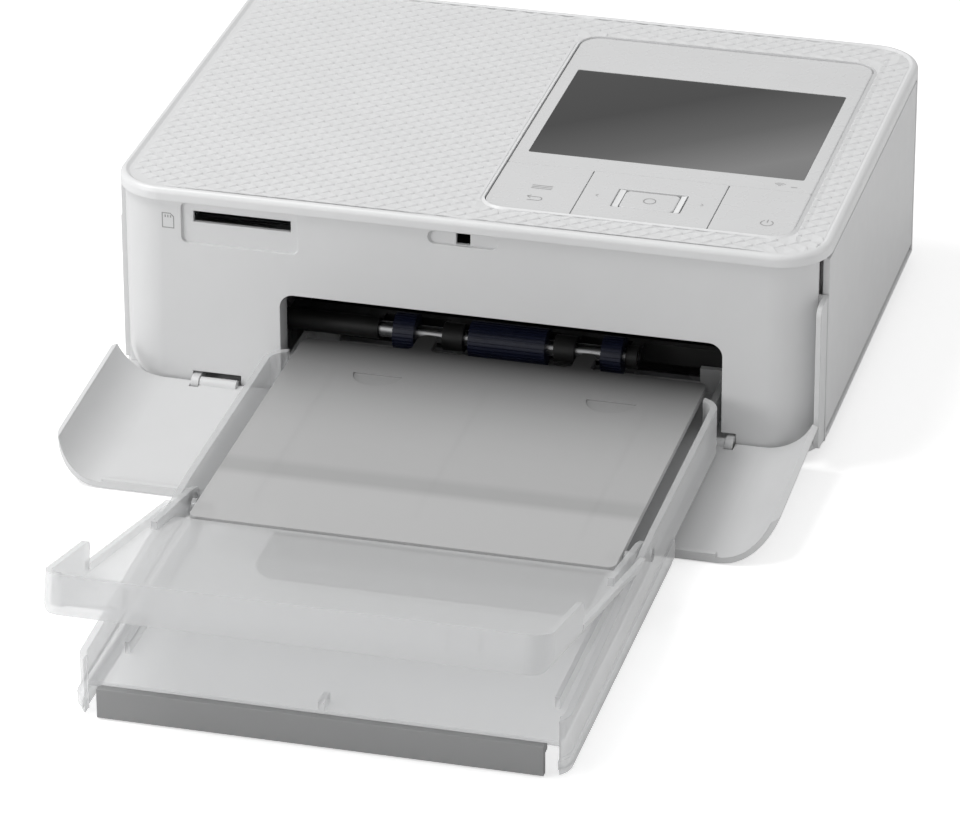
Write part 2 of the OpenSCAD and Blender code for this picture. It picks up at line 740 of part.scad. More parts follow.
module ink_door() color("white") place() {
    difference() {
        union() {
            box([half_w - ink_door_t, ink_door_y0, ink_axis_z], [half_w, ink_door_y1, ink_door_top]);
            translate([ink_axis_x, ink_door_y0, ink_axis_z]) rotate([-90, 0, 0])
                cylinder(r = half_w - ink_axis_x, h = ink_door_y1 - ink_door_y0);
            // Stiffening ribs on the inner face
            for (z = [ink_axis_z + 6, ink_door_top - 3])
                box([half_w - ink_rib_in, ink_door_y0 + 3, z],
                    [half_w - ink_door_t + 0.1, ink_door_y1 - 3, z + rib_t]);
            for (i = [0:4]) translate([0, ink_door_y0 + 3 + i * (ink_door_y1 - ink_door_y0 - 7.2) / 4, 0])
                box([half_w - ink_rib_in, 0, ink_axis_z + 6],
                    [half_w - ink_door_t + 0.1, rib_t, ink_door_top - 2]);
        }
        for (y = [ink_door_y0 - 1, ink_door_y1 - ink_pin_in]) translate([ink_axis_x, y, ink_axis_z])
            rotate([-90, 0, 0]) cylinder(r = ink_pin_r, h = ink_pin_in + 1);
    }
}

module ink_door_pins() color("silver") place() {
    for (y = [ink_ear_ys()[0], ink_door_y1 - ink_pin_in]) translate([ink_axis_x, y, ink_axis_z])
        rotate([-90, 0, 0]) cylinder(r = ink_pin_r, h = ink_pin_in + side_play + ink_ear_t);
}

// Paper cassette

bar_half = 52.7;
bar_gap = 3.2;
bar_top = 8;
bar_y = tray_y0 + 1.1;
bar_back = tray_y0 + 4.6;
neck_top = 14.4;
ear_t = 1.2;
inner_lid_x0 = neck_x0 + 3;
inner_lid_x1 = neck_x1 - 2.7;
inner_barrel_r = 2.2;
inner_pin_in = 3;
inner_axis_z = inner_lid_top - inner_barrel_r;
wall_in = tray_step + tray_wall;
tray_r = 6.5;

// The space above a line that falls toward the front from (y, z)
module above(y, z, fall) along_x(tray_x0 - 1, tray_x1 + 1)
    translate([y, z]) rotate(fall) translate([-2 * lid_len, 0]) square([2 * lid_len, body_h]);

module tray_ring(z0, z1, inset) {
    difference() {
        slab(tray_x0 + inset, tray_x1 - inset, tray_y0 + inset, tray_neck_y, tray_r, z0, z1);
        slab(tray_x0 + wall_in, tray_x1 - wall_in, tray_y0 + wall_in, tray_neck_y - tray_wall,
            tray_r - tray_wall, z0 - 1, z1 + 1);
    }
}

module cassette_tray() color("lightsteelblue", 0.6) place() {
    door_y = front_y - skirt_back;
    difference() {
        union() {
            tray_ring(mouth_z, wall_top, tray_step);
            slab(tray_x0 + wall_in - 1, tray_x1 - wall_in + 1, bar_back, tray_neck_y - 1, 1,
                tray_floor_z, tray_floor_z + tray_floor_t);
            // Deep skirt in front of the door, with a wider foot
            difference() {
                union() {
                    tray_ring(skirt_z, mouth_z + 1, tray_step);
                    difference() {
                        tray_ring(skirt_z + 2, rim_top, 0);
                        above(door_y, rim_top, rim_fall);
                        box([tray_x0 - 1, door_y, 0], [tray_x1 + 1, front_y, rim_top + 1]);
                    }
                }
                box([tray_x0 - 1, door_y, 0], [tray_x1 + 1, front_y, mouth_z]);
            }
        }
        // Low front between the corner posts
        box([tray_cx - bar_half - bar_gap, tray_y0 - 1, -1],
            [tray_cx + bar_half + bar_gap, bar_back, wall_top + 1]);
        above(wall_fall_y, wall_top, wall_fall);
        // Way through to the neck
        box([neck_x0 + tray_wall, tray_neck_y - tray_wall - 1, tray_floor_z + tray_floor_t],
            [neck_x1 - tray_wall, tray_neck_y + 1, wall_top + 1]);
        // Bores of the outer lid's pins
        rod(tray_x0 - 1, tray_x1 + 1, [lid_axis_y, lid_axis_z], lid_pin_r + run_gap);
    }
    // Neck that enters the printer
    difference() {
        slab(neck_x0, neck_x1, tray_neck_y - tray_r, tray_rear_y, 3, tray_floor_z, neck_top);
        slab(neck_x0 + tray_wall, neck_x1 - tray_wall, tray_neck_y - 2 * tray_r,
            tray_rear_y - tray_wall, 1.3, tray_floor_z + tray_floor_t, neck_top + 1);
        box([tray_x0, tray_neck_y - 2 * tray_r, 0], [tray_x1, tray_neck_y - 0.1, 30]);
        // Notches for the pickup rollers' paper path
        box([neck_x0 + 8, tray_rear_y - 4, tray_floor_z + 3.4], [neck_x1 - 8, tray_rear_y + 1, neck_top + 1]);
    }
    // Ears of the inner lid
    for (x = [inner_lid_x0 - side_play - ear_t, inner_lid_x1 + side_play]) difference() {
        along_x(x, x + ear_t) {
            translate([inner_axis_y, inner_axis_z]) circle(2);
            translate([inner_axis_y - 2, tray_floor_z + 1]) square([4, inner_axis_z - tray_floor_z - 1]);
        }
        rod(x - 1, x + ear_t + 1, [inner_axis_y, inner_axis_z], pin_r + run_gap);
    }
    // Stop rib behind the bar
    box([tray_cx - 1, bar_back, tray_floor_z + 1], [tray_cx + 0.6, bar_back + 5, tray_floor_z + 3.4]);
    // Paper edge ribs along the floor
    for (x = [neck_x0 + 3.2, neck_x1 - 4.4])
        box([x, bar_back + 14, tray_floor_z + 1], [x + 1.2, inner_axis_y - 6, tray_floor_z + 4.4]);
}

module cassette_bar() color("gray") place() {
    along_x(tray_cx - bar_half, tray_cx + bar_half) {
        translate([bar_y, skirt_z]) square([1.7, bar_top - skirt_z]);
        translate([bar_y, tray_floor_z - 1]) square([bar_back - bar_y, 1.6]);
    }
    for (i = [-2:2]) box([tray_cx + i * 24 - 0.6, bar_y + 1, skirt_z + 1],
        [tray_cx + i * 24 + 0.6, bar_back, tray_floor_z - 0.5]);
}

module tray_base_plate() color("gray", 0.6) place() {
    slab(tray_cx - 34.3, tray_cx + 47.2, tray_y0 + 61, tray_neck_y - 8, 7,
        tray_floor_z + tray_floor_t, tray_floor_z + tray_floor_t + 0.8);
}

tongue_w = 5;
tongue_l = 8.7;
tongue_xs = [-11.8, 29.3];
thumb_r = 6.25;

// A tongue with a round end and hollow fillets at its root
module tongue(x) {
    f = 2;
    slab(x - tongue_w / 2, x + tongue_w / 2, inner_lid_y1 - 10, inner_lid_y1 + tongue_l,
        tongue_w / 2 - 0.01, inner_lid_top - lid_t, inner_lid_top);
    for (s = [0, 1]) translate([x, 0, 0]) mirror([s, 0, 0])
        translate([tongue_w / 2 - 0.1, inner_lid_y1 - 0.1, inner_lid_top - lid_t])
            linear_extrude(lid_t) difference() {
                square(f);
                translate([f, f]) circle(f);
            }
}

module inner_lid() color("lightsteelblue", 0.6) place() {
    difference() {
        union() {
            slab(inner_lid_x0, inner_lid_x1, inner_lid_y0, inner_lid_y1, 2,
                inner_lid_top - lid_t, inner_lid_top);
            for (x = tongue_xs) tongue(x);
            for (x = [inner_lid_x0, inner_lid_x1 - 4])
                rod(x, x + 4, [inner_axis_y, inner_axis_z], inner_barrel_r);
            // Ribs that hold the paper flat
            for (x = [inner_lid_x0 + 12, tray_cx, inner_lid_x1 - 12])
                box([x - 0.6, inner_axis_y + 6, inner_lid_top - lid_t - 1.6],
                    [x + 0.6, inner_lid_y1 - 12, inner_lid_top - lid_t + 0.1]);
        }
        rod(inner_lid_x0 - 1, inner_lid_x0 + inner_pin_in, [inner_axis_y, inner_axis_z], pin_r);
        rod(inner_lid_x1 - inner_pin_in, inner_lid_x1 + 1, [inner_axis_y, inner_axis_z], pin_r);
        // Half round thumb marks
        for (x = [tray_cx - 27.7, tray_cx + 31.8]) translate([x, inner_lid_y1 - 15.5, inner_lid_top - 0.4])
            intersection() {
                cylinder(r = thumb_r, h = 1);
                box([-thumb_r, -thumb_r, 0], [thumb_r, 0, 1]);
            }
    }
}

module inner_lid_pins() color("silver") place() {
    rod(inner_lid_x0 - side_play - ear_t, inner_lid_x0 + inner_pin_in, [inner_axis_y, inner_axis_z], pin_r);
    rod(inner_lid_x1 - inner_pin_in, inner_lid_x1 + side_play + ear_t, [inner_axis_y, inner_axis_z], pin_r);
}

// The outer lid's own frame: origin on its hinge, the plate runs towards -Y
module in_lid() {
    translate([0, lid_axis_y, lid_axis_z]) rotate([-lid_tilt, 0, 0]) children();
}

arm_x0 = tray_x0 + wall_in + slide_gap;
arm_x1 = tray_x1 - wall_in - slide_gap;
lid_start = 18;
lid_wide = 26;
lid_back = 10.5;
lid_side_h = 2;
lid_ear = 32.7;
lid_ear_r = 2;
lid_slot = 0.9;
lid_r = 5.5;

// What the lid's low side walls keep clear of: the tray's walls under them
module tray_wall_room() rotate([lid_tilt, 0, 0]) translate([0, -lid_axis_y, -lid_axis_z])
    for (x = [tray_x0 - 1, arm_x1 - 0.1]) translate([x, 0, 0]) along_x(0, arm_x0 - tray_x0 + 1.1)
        translate([wall_fall_y, wall_top + slide_gap]) rotate(wall_fall)
            translate([-lid_len, -body_h]) square([2 * lid_len, body_h]);

module outer_lid() color("lightsteelblue", 0.6) place() in_lid() {
    difference() {
        union() {
            intersection() {
                difference() {
                    slab(tray_x0, tray_x1, -lid_len, 2 * lid_r, lid_r, -lid_t, lid_wall_h);
                    slab(tray_x0 + lid_t, tray_x1 - lid_t, -lid_len + lid_t, 4 * lid_r,
                        lid_r - lid_t, 0, lid_wall_h + 1);
                    // Low side walls behind the ears
                    box([tray_x0 - 1, -lid_len + lid_ear + lid_slot, lid_side_h],
                        [tray_x1 + 1, 2 * lid_r + 1, 20]);
                    box([tray_x0 - 1, -lid_len + lid_ear, 0.4],
                        [tray_x1 + 1, -lid_len + lid_ear + lid_slot, 20]);
                    along_x(tray_x0 - 1, tray_x1 + 1)
                        translate([-lid_len + lid_ear - lid_ear_r, lid_wall_h - lid_ear_r]) difference() {
                            square(2 * lid_ear_r);
                            circle(lid_ear_r);
                        }
                    // Between the arms the plate starts further from the hinge
                    box([arm_x0 + arm_t / 2, -lid_wide, -lid_t - 1], [arm_x1 - arm_t / 2, 0, lid_wall_h]);
                    tray_wall_room();
                }
                // Soft lower edges at the sides
                along_y(-lid_len - 1, -lid_back) round_rect(tray_x0, tray_x1, -lid_t, 40, 3);
            }
            box([arm_x0, -lid_wide - 6, -lid_t], [arm_x1, -lid_start, 0]);
            for (x = [arm_x0, arm_x1 - arm_t]) along_x(x, x + arm_t) {
                circle(3);
                polygon([[-lid_wide - 6, -lid_t], [-lid_start, -lid_t], [-4, -2.9], [0, -3], [0, 3],
                    [-4, 3.4], [-lid_wide - 6, lid_side_h]]);
            }
            // Stacking bosses inside the ears
            for (x = [tray_x0 + lid_t, tray_x1 - lid_t - 1.4])
                rod(x, x + 1.4, [-lid_len + 7, lid_wall_h - 2.2], 1);
        }
        rod(arm_x0 - 1, arm_x1 + 1, [0, 0], lid_pin_r);
    }
    // Ribs inside the front wall, and the fillet at its foot
    for (x = [tray_x0 + 19.4, tray_x1 - 23.6, tray_x1 - 16.1])
        box([x, -lid_len + lid_t - 0.1, -0.1], [x + 0.8, -lid_len + lid_t + 0.8, lid_wall_h - 1.7]);
    along_x(tray_x0 + lid_r, tray_x1 - lid_r) translate([-lid_len + lid_t - 0.1, -0.1])
        polygon([[0, 0], [2, 0], [0, 1.8]]);
}

module outer_lid_pins() color("silver") place() in_lid() {
    rod(tray_x0 + tray_step, arm_x0 + arm_t, [0, 0], lid_pin_r);
    rod(arm_x1 - arm_t, tray_x1 - tray_step, [0, 0], lid_pin_r);
}

// Mechanism

roller_x0 = plate_x0 + 4.5;
roller_x1 = plate_x1 - 4.5;
pinch_end_r = 1.5;
stud_r = 2;
spindle_r = 2;
spindle_cap_r = 5;
bracket_in = 2.4;

module main_frame() color("silver") place() {
    window = spool_y + tube_r + 0.9;
    sill = spool_z - tube_r - 0.3;
    for (x = [plate_x0 - sheet_t, plate_x1]) difference() {
        box([x, front_y + 5.5, shell_z], [x + sheet_t, rear_y - frame_rear, plate_top]);
        rod(x - 1, x + sheet_t + 1, platen_yz, journal_r + run_gap);
        rod(x - 1, x + sheet_t + 1, feed_yz, journal_r + run_gap);
        rod(x - 1, x + sheet_t + 1, pinch_yz, pinch_end_r + run_gap);
        rod(x - 1, x + sheet_t + 1, head_axis, head_rod_r);
        if (x > 0) {
            box([x - 1, platen_yz[0] - window, sill],
                [x + sheet_t + 1, platen_yz[0] + window, plate_top + 1]);
        } else {
            rod(x - 1, x + sheet_t + 1, pickup_yz, pickup_shaft_r + run_gap);
            rod(x - 1, x + sheet_t + 1, [platen_yz[0] + spool_y, spool_z], spindle_r + run_gap);
        }
    }
    box([plate_x0 - 0.1, front_y + 32.5, shell_z], [plate_x1 + 0.1, rear_y - frame_rear, shell_z + sheet_t]);
    // Flange that the main board stands on
    for (y = board_posts())
        box([plate_x0 - 0.1, y - 5, plate_top - sheet_t],
            [plate_x0 + 8, min(y + 5, rear_y - frame_rear), plate_top]);
    for (y = board_posts()) translate([plate_x0 + 2, y, plate_top - 0.1]) {
        cylinder(r = 2.6, h = board_z() - plate_top + 0.1);
        cylinder(r = post_r, h = board_z() - plate_top + 2.4);
    }
}

// Bearings of the pickup shaft: span along X, and outer radius
bearings = [[plate_x0, -25.2, 2.8], [-8.4, -3, 3.6], [20.4, 25.8, 3.6], [38.8, 41.8, 3]];

module pickup_bracket() color("black") place() {
    y0 = tray_rear_y + 0.6;
    box([plate_x0, y0, pickup_yz[1] - 4], [plate_x1, y0 + 2.2, pickup_yz[1] + 1.4]);
    for (b = bearings) difference() {
        along_x(b[0], b[1]) {
            translate(pickup_yz) circle(b[2]);
            translate([pickup_yz[0], pickup_yz[1] - 2.6]) square([y0 - pickup_yz[0] + 0.5, 4]);
        }
        rod(b[0] - 1, b[1] + 1, pickup_yz, pickup_shaft_r + run_gap);
    }
}

roller_spans = [[-21, -15.5], [-1.4, 18.4], [32.8, 38]];

module pickup_shaft() color("silver") place() {
    rod(gear_x0 - 1, bearings[3][1] - 0.4, pickup_yz, pickup_shaft_r);
}

// Ribbed rubber rollers: straight ribs along the shaft
module pickup_rollers() color("midnightblue") place() {
    ribs = 28;
    for (s = roller_spans) along_x(s[0], s[1]) translate(pickup_yz) difference() {
        union() {
            circle(pickup_r - 0.4);
            for (i = [0:ribs - 1]) rotate(i * 360 / ribs)
                translate([pickup_r - 0.7, -0.3]) square([0.7, 0.6]);
        }
        circle(pickup_shaft_r);
    }
}

module feed_roller() color("silver") place() {
    rod(gear_x0 - 1, plate_x1 + sheet_t + 1, feed_yz, journal_r);
    rod(roller_x0, roller_x1, feed_yz, feed_r);
}

module pinch_roller() color("dimgray") place() {
    rod(plate_x0 - sheet_t - 0.6, plate_x1 + sheet_t + 0.6, pinch_yz, pinch_end_r);
    for (i = [0:3]) {
        w = (roller_x1 - roller_x0 - 12) / 4;
        rod(roller_x0 + i * (w + 4), roller_x0 + i * (w + 4) + w, pinch_yz, feed_r);
    }
}

module platen_roller() color("dimgray") place() {
    rod(gear_x0 - 1, plate_x1 + sheet_t + 1, platen_yz, journal_r);
    rod(roller_x0, roller_x1, platen_yz, platen_r);
}

// Each gear's turn follows from the gear before it, so that the teeth mesh
platen_turn = 0;
idler_turn = phase(platen_turn, platen_teeth, idler_teeth, bearing(platen_yz, idler_yz));
feed_turn = phase(idler_turn, idler_teeth, feed_teeth, bearing(idler_yz, feed_yz));
pickup_turn = phase(feed_turn, feed_teeth, pickup_teeth, bearing(feed_yz, pickup_yz));
pinion_phase = phase(platen_turn, platen_teeth, pinion_teeth, bearing(platen_yz, pinion_yz));

module platen_gear() color("ivory") place() gear(platen_teeth, platen_yz, platen_turn, journal_r);

module idler_gear() color("ivory") place() gear(idler_teeth, idler_yz, idler_turn, stud_r + run_gap);

module feed_gear() color("ivory") place() gear(feed_teeth, feed_yz, feed_turn, journal_r);

module pickup_gear() color("ivory") place() gear(pickup_teeth, pickup_yz, pickup_turn, pickup_shaft_r);

module motor_pinion() color("khaki") place() gear(pinion_teeth, pinion_yz, pinion_phase, 1);

module idler_stud() color("silver") place() {
    rod(gear_x0 - 0.8, plate_x0 - sheet_t, idler_yz, stud_r);
    rod(gear_x0 - 1.6, gear_x0 - 0.4, idler_yz, stud_r + 1);
}

motor_r = 12;
motor_l = 24;

module motor_bracket() color("silver") place() {
    x0 = gear_x0 - bracket_in;
    posts = [[platen_yz[0] + 26, 15], [platen_yz[0] - 3, 39.5]];
    difference() {
        box([x0, platen_yz[0] - 6, 11], [x0 + sheet_t, platen_yz[0] + 30, 42]);
        rod(x0 - 1, x0 + sheet_t + 1, pinion_yz, 3);
    }
    for (p = posts) rod(x0 + sheet_t - 0.1, plate_x0 - sheet_t, p, 1.8);
}

module drive_motor() color("gray") place() {
    x1 = gear_x0 - bracket_in;
    rod(x1 - motor_l, x1, pinion_yz, motor_r);
    rod(x1 - motor_l - 1.6, x1 - motor_l + 0.1, pinion_yz, 4);
}

module lower_guide() color("black") place() {
    y0 = feed_yz[0] + feed_r + 0.6;
    y1 = platen_yz[0] - platen_r - 1.8;
    z1 = platen_yz[1] + platen_r - 0.3;
    along_x(plate_x0, plate_x1) polygon([
        [y0, shell_z + sheet_t], [y1, shell_z + sheet_t], [y1, z1], [y1 - 1.6, z1], [y1 - 5, z1 - 1],
        [y0 + 6, shell_z + 7.4], [y0, shell_z + 3.6]]);
}

module exit_guide() color("black") place() {
    z0 = mouth_top + 0.6;
    y0 = front_y + mouth_lip + 1.6;
    box([plate_x0, y0, z0], [plate_x1, pickup_yz[0] + 5, z0 + 1.8]);
    for (i = [0:8]) translate([plate_x0 + 8 + i * 12, 0, 0])
        along_x(0, 1.2) polygon([[y0 + 1, z0 + 0.1], [y0 + 4, z0 - 2.2], [pickup_yz[0] + 3, z0 - 2.2],
            [pickup_yz[0] + 4.5, z0 + 0.1]]);
}

// Print head on its lifting arm

head_x0 = ink_x0 + 4;
head_x1 = plate_x1 - 9.4;

module thermal_head() color("silver") place() {
    y0 = platen_yz[0] - 9;
    difference() {
        union() {
            box([head_x0, y0, head_plate_z], [head_x1, head_axis[0] + 2, head_plate_z + 1.2]);
            for (x = [head_x0, head_x1 - 2]) along_x(x, x + 2) {
                translate(head_axis) circle(4);
                translate([head_axis[0] - 4, head_axis[1]]) square([8, head_plate_z - head_axis[1] + 0.2]);
            }
        }
        rod(head_x0 - 1, head_x1 + 1, head_axis, head_rod_r + run_gap);
    }
    // Heating bar over the platen
    box([head_x0, platen_yz[0] - 3, platen_yz[1] + platen_r + 1],
        [head_x1, platen_yz[0] + 3, platen_yz[1] + platen_r + 3]);
}

module heat_sink() color("lightgray") place() {
    z0 = platen_yz[1] + platen_r + 3;
    for (i = [0:4]) box([head_x0 + 2, platen_yz[0] - 8 + i * 3.6, z0 + 2.9],
        [head_x1 - 2, platen_yz[0] - 6.4 + i * 3.6, head_plate_z]);
    box([head_x0 + 2, platen_yz[0] - 8, z0], [head_x1 - 2, platen_yz[0] + 8, z0 + 3]);
}

module head_pivot_rod() color("silver") place() {
    rod(plate_x0 - sheet_t, plate_x1 + sheet_t, head_axis, head_rod_r);
}

// Ink cassette

tube_x1 = ink_x1 - ink_end_t;

module ink_shell() color("dimgray") place() {
    for (s = [-1, 1]) {
        yz = [platen_yz[0] + s * spool_y, spool_z];
        difference() {
            union() {
                rod(ink_x0, ink_x1, yz, tube_r);
                // Shoulder that joins the tube to the end frames
                for (x = [ink_x0, tube_x1])
                    box([x, min(yz[0], platen_yz[0] + s * 11), spool_z + 2],
                        [x + ink_end_t, max(yz[0], platen_yz[0] + s * 11), spool_z + tube_r - 2]);
            }
            rod(ink_x0 + ink_end_t, tube_x1, yz, tube_r - tube_wall);
            rod(ink_x0 - 1, ink_x1 + 1, yz, core_r + run_gap);
            // Slit that lets the film out
            box([ink_x0 + ink_end_t, min(yz[0] - s * 20, yz[0]), spool_z - tube_r - 1],
                [tube_x1, max(yz[0] - s * 20, yz[0]), spool_z - wound_r + 1.5]);
        }
    }
    // End frames between the tubes, over the film's way
    for (x = [ink_x0, tube_x1])
        box([x, platen_yz[0] - spool_y + 4, spool_z + 3],
            [x + ink_end_t, platen_yz[0] + spool_y - 4, spool_z + 7]);
    // Handle on the outer end
    box([ink_x1 - 0.1, platen_yz[0] - 7, spool_z + 3], [ink_x1 + 4, platen_yz[0] + 7, spool_z + 5]);
}

module spool(s) {
    yz = [platen_yz[0] + s * spool_y, spool_z];
    rod(ink_x0, ink_x1, yz, core_r);
    rod(film_x0, film_x0 + film_w, yz, wound_r);
    for (x = [film_x0 - 1.2, film_x0 + film_w]) rod(x, x + 1.2, yz, wound_r + 0.9);
}

module supply_spool() color("goldenrod") place() spool(-1);

module takeup_spool() color("goldenrod") place() spool(1);

module takeup_spindle() color("ivory") place() {
    yz = [platen_yz[0] + spool_y, spool_z];
    rod(plate_x0 - sheet_t - 3, ink_x0, yz, spindle_r);
    rod(plate_x0 - sheet_t - 3, plate_x0 - sheet_t - 1, yz, spindle_cap_r);
    rod(plate_x0 + 0.6, ink_x0 - 1, yz, spindle_cap_r);
}

module ribbon_film() color("khaki") place() {
    z = spool_z - wound_r - 0.3;
    box([film_x0 + 1, platen_yz[0] - spool_y, z - 0.3], [film_x0 + film_w - 1, platen_yz[0] + spool_y, z]);
}

base_pan();
rubber_feet();
case_screws();
shell();
front_fascia();
top_cover();
control_panel();
lcd_window();
lcd_module();
key_board();
left_key();
rocker_key();
ok_key();
power_key();
main_board();
card_socket();
data_port();
power_inlet();
rear_slot_guide();
front_door();
door_hinge_pins();
ink_door();
ink_door_pins();
cassette_tray();
cassette_bar();
tray_base_plate();
inner_lid();
inner_lid_pins();
outer_lid();
outer_lid_pins();
main_frame();
pickup_bracket();
pickup_shaft();
pickup_rollers();
pickup_gear();
feed_roller();
feed_gear();
pinch_roller();
platen_roller();
platen_gear();
idler_gear();
idler_stud();
motor_bracket();
drive_motor();
motor_pinion();
lower_guide();
exit_guide();
thermal_head();
heat_sink();
head_pivot_rod();
ink_shell();
supply_spool();
takeup_spool();
takeup_spindle();
ribbon_film();
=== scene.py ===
"""Looks of the compact photo printer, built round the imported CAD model."""
import json
import math

import bmesh
import bpy
from mathutils import Matrix, Vector, geometry

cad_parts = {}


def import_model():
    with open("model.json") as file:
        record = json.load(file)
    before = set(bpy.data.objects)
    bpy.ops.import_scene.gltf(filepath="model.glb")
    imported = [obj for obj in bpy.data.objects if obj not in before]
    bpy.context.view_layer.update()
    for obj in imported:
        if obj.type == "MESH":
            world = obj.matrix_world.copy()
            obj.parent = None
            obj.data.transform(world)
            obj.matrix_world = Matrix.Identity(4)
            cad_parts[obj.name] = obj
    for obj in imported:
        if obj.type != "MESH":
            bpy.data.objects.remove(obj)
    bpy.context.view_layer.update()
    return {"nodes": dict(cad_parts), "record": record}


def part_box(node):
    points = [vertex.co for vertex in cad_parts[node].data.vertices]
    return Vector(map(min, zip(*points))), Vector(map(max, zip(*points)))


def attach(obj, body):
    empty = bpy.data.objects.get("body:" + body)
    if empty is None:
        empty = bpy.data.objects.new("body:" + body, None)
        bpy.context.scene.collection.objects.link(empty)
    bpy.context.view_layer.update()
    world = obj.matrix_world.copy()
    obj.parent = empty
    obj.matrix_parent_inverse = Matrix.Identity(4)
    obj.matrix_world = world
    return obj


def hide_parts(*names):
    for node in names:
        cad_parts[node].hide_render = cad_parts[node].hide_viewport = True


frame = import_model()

NODES = frame["nodes"]
MM = 0.001
scene = bpy.context.scene

# The body's middle in the row frame, so that places can be given from it
top_lo, top_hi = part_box("top_cover")
BODY_Y = (top_lo.y + top_hi.y) / 2 / MM
COVER_TOP = top_hi.z / MM


def at(x, y, z):
    """A place given in millimetres from the middle of the body's base."""
    return Vector((x * MM, (y + BODY_Y) * MM, z * MM))


# Camera, solved from the photograph

AZIMUTH, ELEVATION, ROLL = math.radians(14.82), math.radians(27.09), math.radians(-0.169)
OFFSET = (12.08, 24.19, 1543.33)
FOCAL_PX, FRAME_PX, SENSOR = 5938.9, 960, 36.0


def make_camera():
    """The photograph's camera, placed by its angles and its offset from the body's middle."""
    back = Vector((math.sin(AZIMUTH) * math.cos(ELEVATION), -math.cos(AZIMUTH) * math.cos(ELEVATION),
                   math.sin(ELEVATION)))
    side = Vector((math.cos(AZIMUTH), math.sin(AZIMUTH), 0))
    up = back.cross(side)
    right = math.cos(ROLL) * side + math.sin(ROLL) * up
    rise = -math.sin(ROLL) * side + math.cos(ROLL) * up
    spot = -OFFSET[0] * right - OFFSET[1] * rise + OFFSET[2] * back
    cam = bpy.data.cameras.new("camera")
    cam.sensor_width = SENSOR
    cam.sensor_fit = "HORIZONTAL"
    cam.lens = FOCAL_PX / FRAME_PX * SENSOR
    cam.clip_start, cam.clip_end = 0.1, 20
    obj = bpy.data.objects.new("camera", cam)
    scene.collection.objects.link(obj)
    turn = Matrix((right, rise, back)).transposed().to_4x4()
    obj.matrix_world = Matrix.Translation(at(*spot)) @ turn
    scene.camera = obj


# Materials

class Look:
    """A material with its node tree, shader and object coordinates."""

    def __init__(self, name, colour, rough, metal=0.0):
        self.mat = bpy.data.materials.new(name)
        self.mat.use_nodes = True
        self.tree = self.mat.node_tree
        self.shader = self.tree.nodes["Principled BSDF"]
        self.set("Base Color", (*colour, 1))
        self.set("Roughness", rough)
        self.set("Metallic", metal)
        self.place = self.add("ShaderNodeTexCoord").outputs["Object"]
        self.normal = None

    def add(self, kind, **values):
        node = self.tree.nodes.new(kind)
        for key, value in values.items():
            setattr(node, key, value)
        return node

    def set(self, socket, value):
        self.shader.inputs[socket].default_value = value

    def link(self, a, b):
        self.tree.links.new(a, b)

    def stretched(self, scale):
        """Object coordinates scaled along each axis."""
        node = self.add("ShaderNodeMapping")
        node.inputs["Scale"].default_value = scale
        self.link(self.place, node.inputs["Vector"])
        return node.outputs["Vector"]

    def noise(self, scale, detail=3.0, rough=0.5, place=None):
        node = self.add("ShaderNodeTexNoise")
        node.inputs["Scale"].default_value = scale
        node.inputs["Detail"].default_value = detail
        node.inputs["Roughness"].default_value = rough
        self.link(place or self.place, node.inputs["Vector"])
        return node.outputs["Fac"]

    def cells(self, scale, place=None, feature="F1"):
        node = self.add("ShaderNodeTexVoronoi", feature=feature)
        node.inputs["Scale"].default_value = scale
        self.link(place or self.place, node.inputs["Vector"])
        return node

    def ramp(self, source, stops):
        """Maps a value to colours: stops are (position, colour) pairs."""
        node = self.add("ShaderNodeValToRGB")
        band = node.color_ramp.elements
        while len(band) < len(stops):
            band.new(0.5)
        for element, (position, colour) in zip(band, stops):
            element.position = position
            element.color = (*colour, 1)
        self.link(source, node.inputs["Fac"])
        return node.outputs["Color"]

    def vary(self, socket, source, low, high):
        """Drives a value of the shader between low and high."""
        node = self.add("ShaderNodeMapRange")
        node.inputs["From Min"].default_value = 0.3
        node.inputs["From Max"].default_value = 0.7
        node.inputs["To Min"].default_value = low
        node.inputs["To Max"].default_value = high
        self.link(source, node.inputs["Value"])
        self.link(node.outputs["Result"], self.shader.inputs[socket])

    def colour(self, source, low, high):
        self.link(self.ramp(source, [(0.3, low), (0.7, high)]), self.shader.inputs["Base Color"])

    def rounded(self, radius):
        """Edges that catch the light as if they had this radius in millimetres."""
        node = self.add("ShaderNodeBevel", samples=6)
        node.inputs["Radius"].default_value = radius * MM
        self.normal = node.outputs["Normal"]
        self.link(self.normal, self.shader.inputs["Normal"])

    def bump(self, source, depth, strength=1.0):
        node = self.add("ShaderNodeBump")
        node.inputs["Distance"].default_value = depth * MM
        node.inputs["Strength"].default_value = strength
        self.link(source, node.inputs["Height"])
        if self.normal:
            self.link(self.normal, node.inputs["Normal"])
        self.normal = node.outputs["Normal"]
        self.link(self.normal, self.shader.inputs["Normal"])


def grey(value, tint=0.0):
    """A linear grey, a little cooler with tint."""
    return (value * (1 - tint), value, value * (1 + tint))


def moulded(name, value, rough, grain=0.02, tint=0.004, edge=0.3):
    """Moulded plastic: fine spark grain, faint clouding and uneven gloss."""
    look = Look(name, grey(value, tint), rough)
    if edge:
        look.rounded(edge)
    look.colour(look.noise(60, 4), grey(value * 0.985, tint), grey(value * 1.01, tint))
    look.vary("Roughness", look.noise(220, 4), rough - 0.05, rough + 0.05)
    look.bump(look.noise(3200, 2), grain, 0.5)
    return look


def pearl_cover():
    """The top cover's gloss with a faint clear coat."""
    look = moulded("cover_white", 0.80, 0.36, 0.012, edge=0.12)
    look.set("Coat Weight", 0.25)
    look.set("Coat Roughness", 0.25)
    return look


def gloss_panel():
    """The panel's and keys' smoother gloss."""
    look = moulded("panel_white", 0.75, 0.28, 0.004, edge=0.12)
    look.set("Coat Weight", 0.4)
    look.set("Coat Roughness", 0.08)
    return look


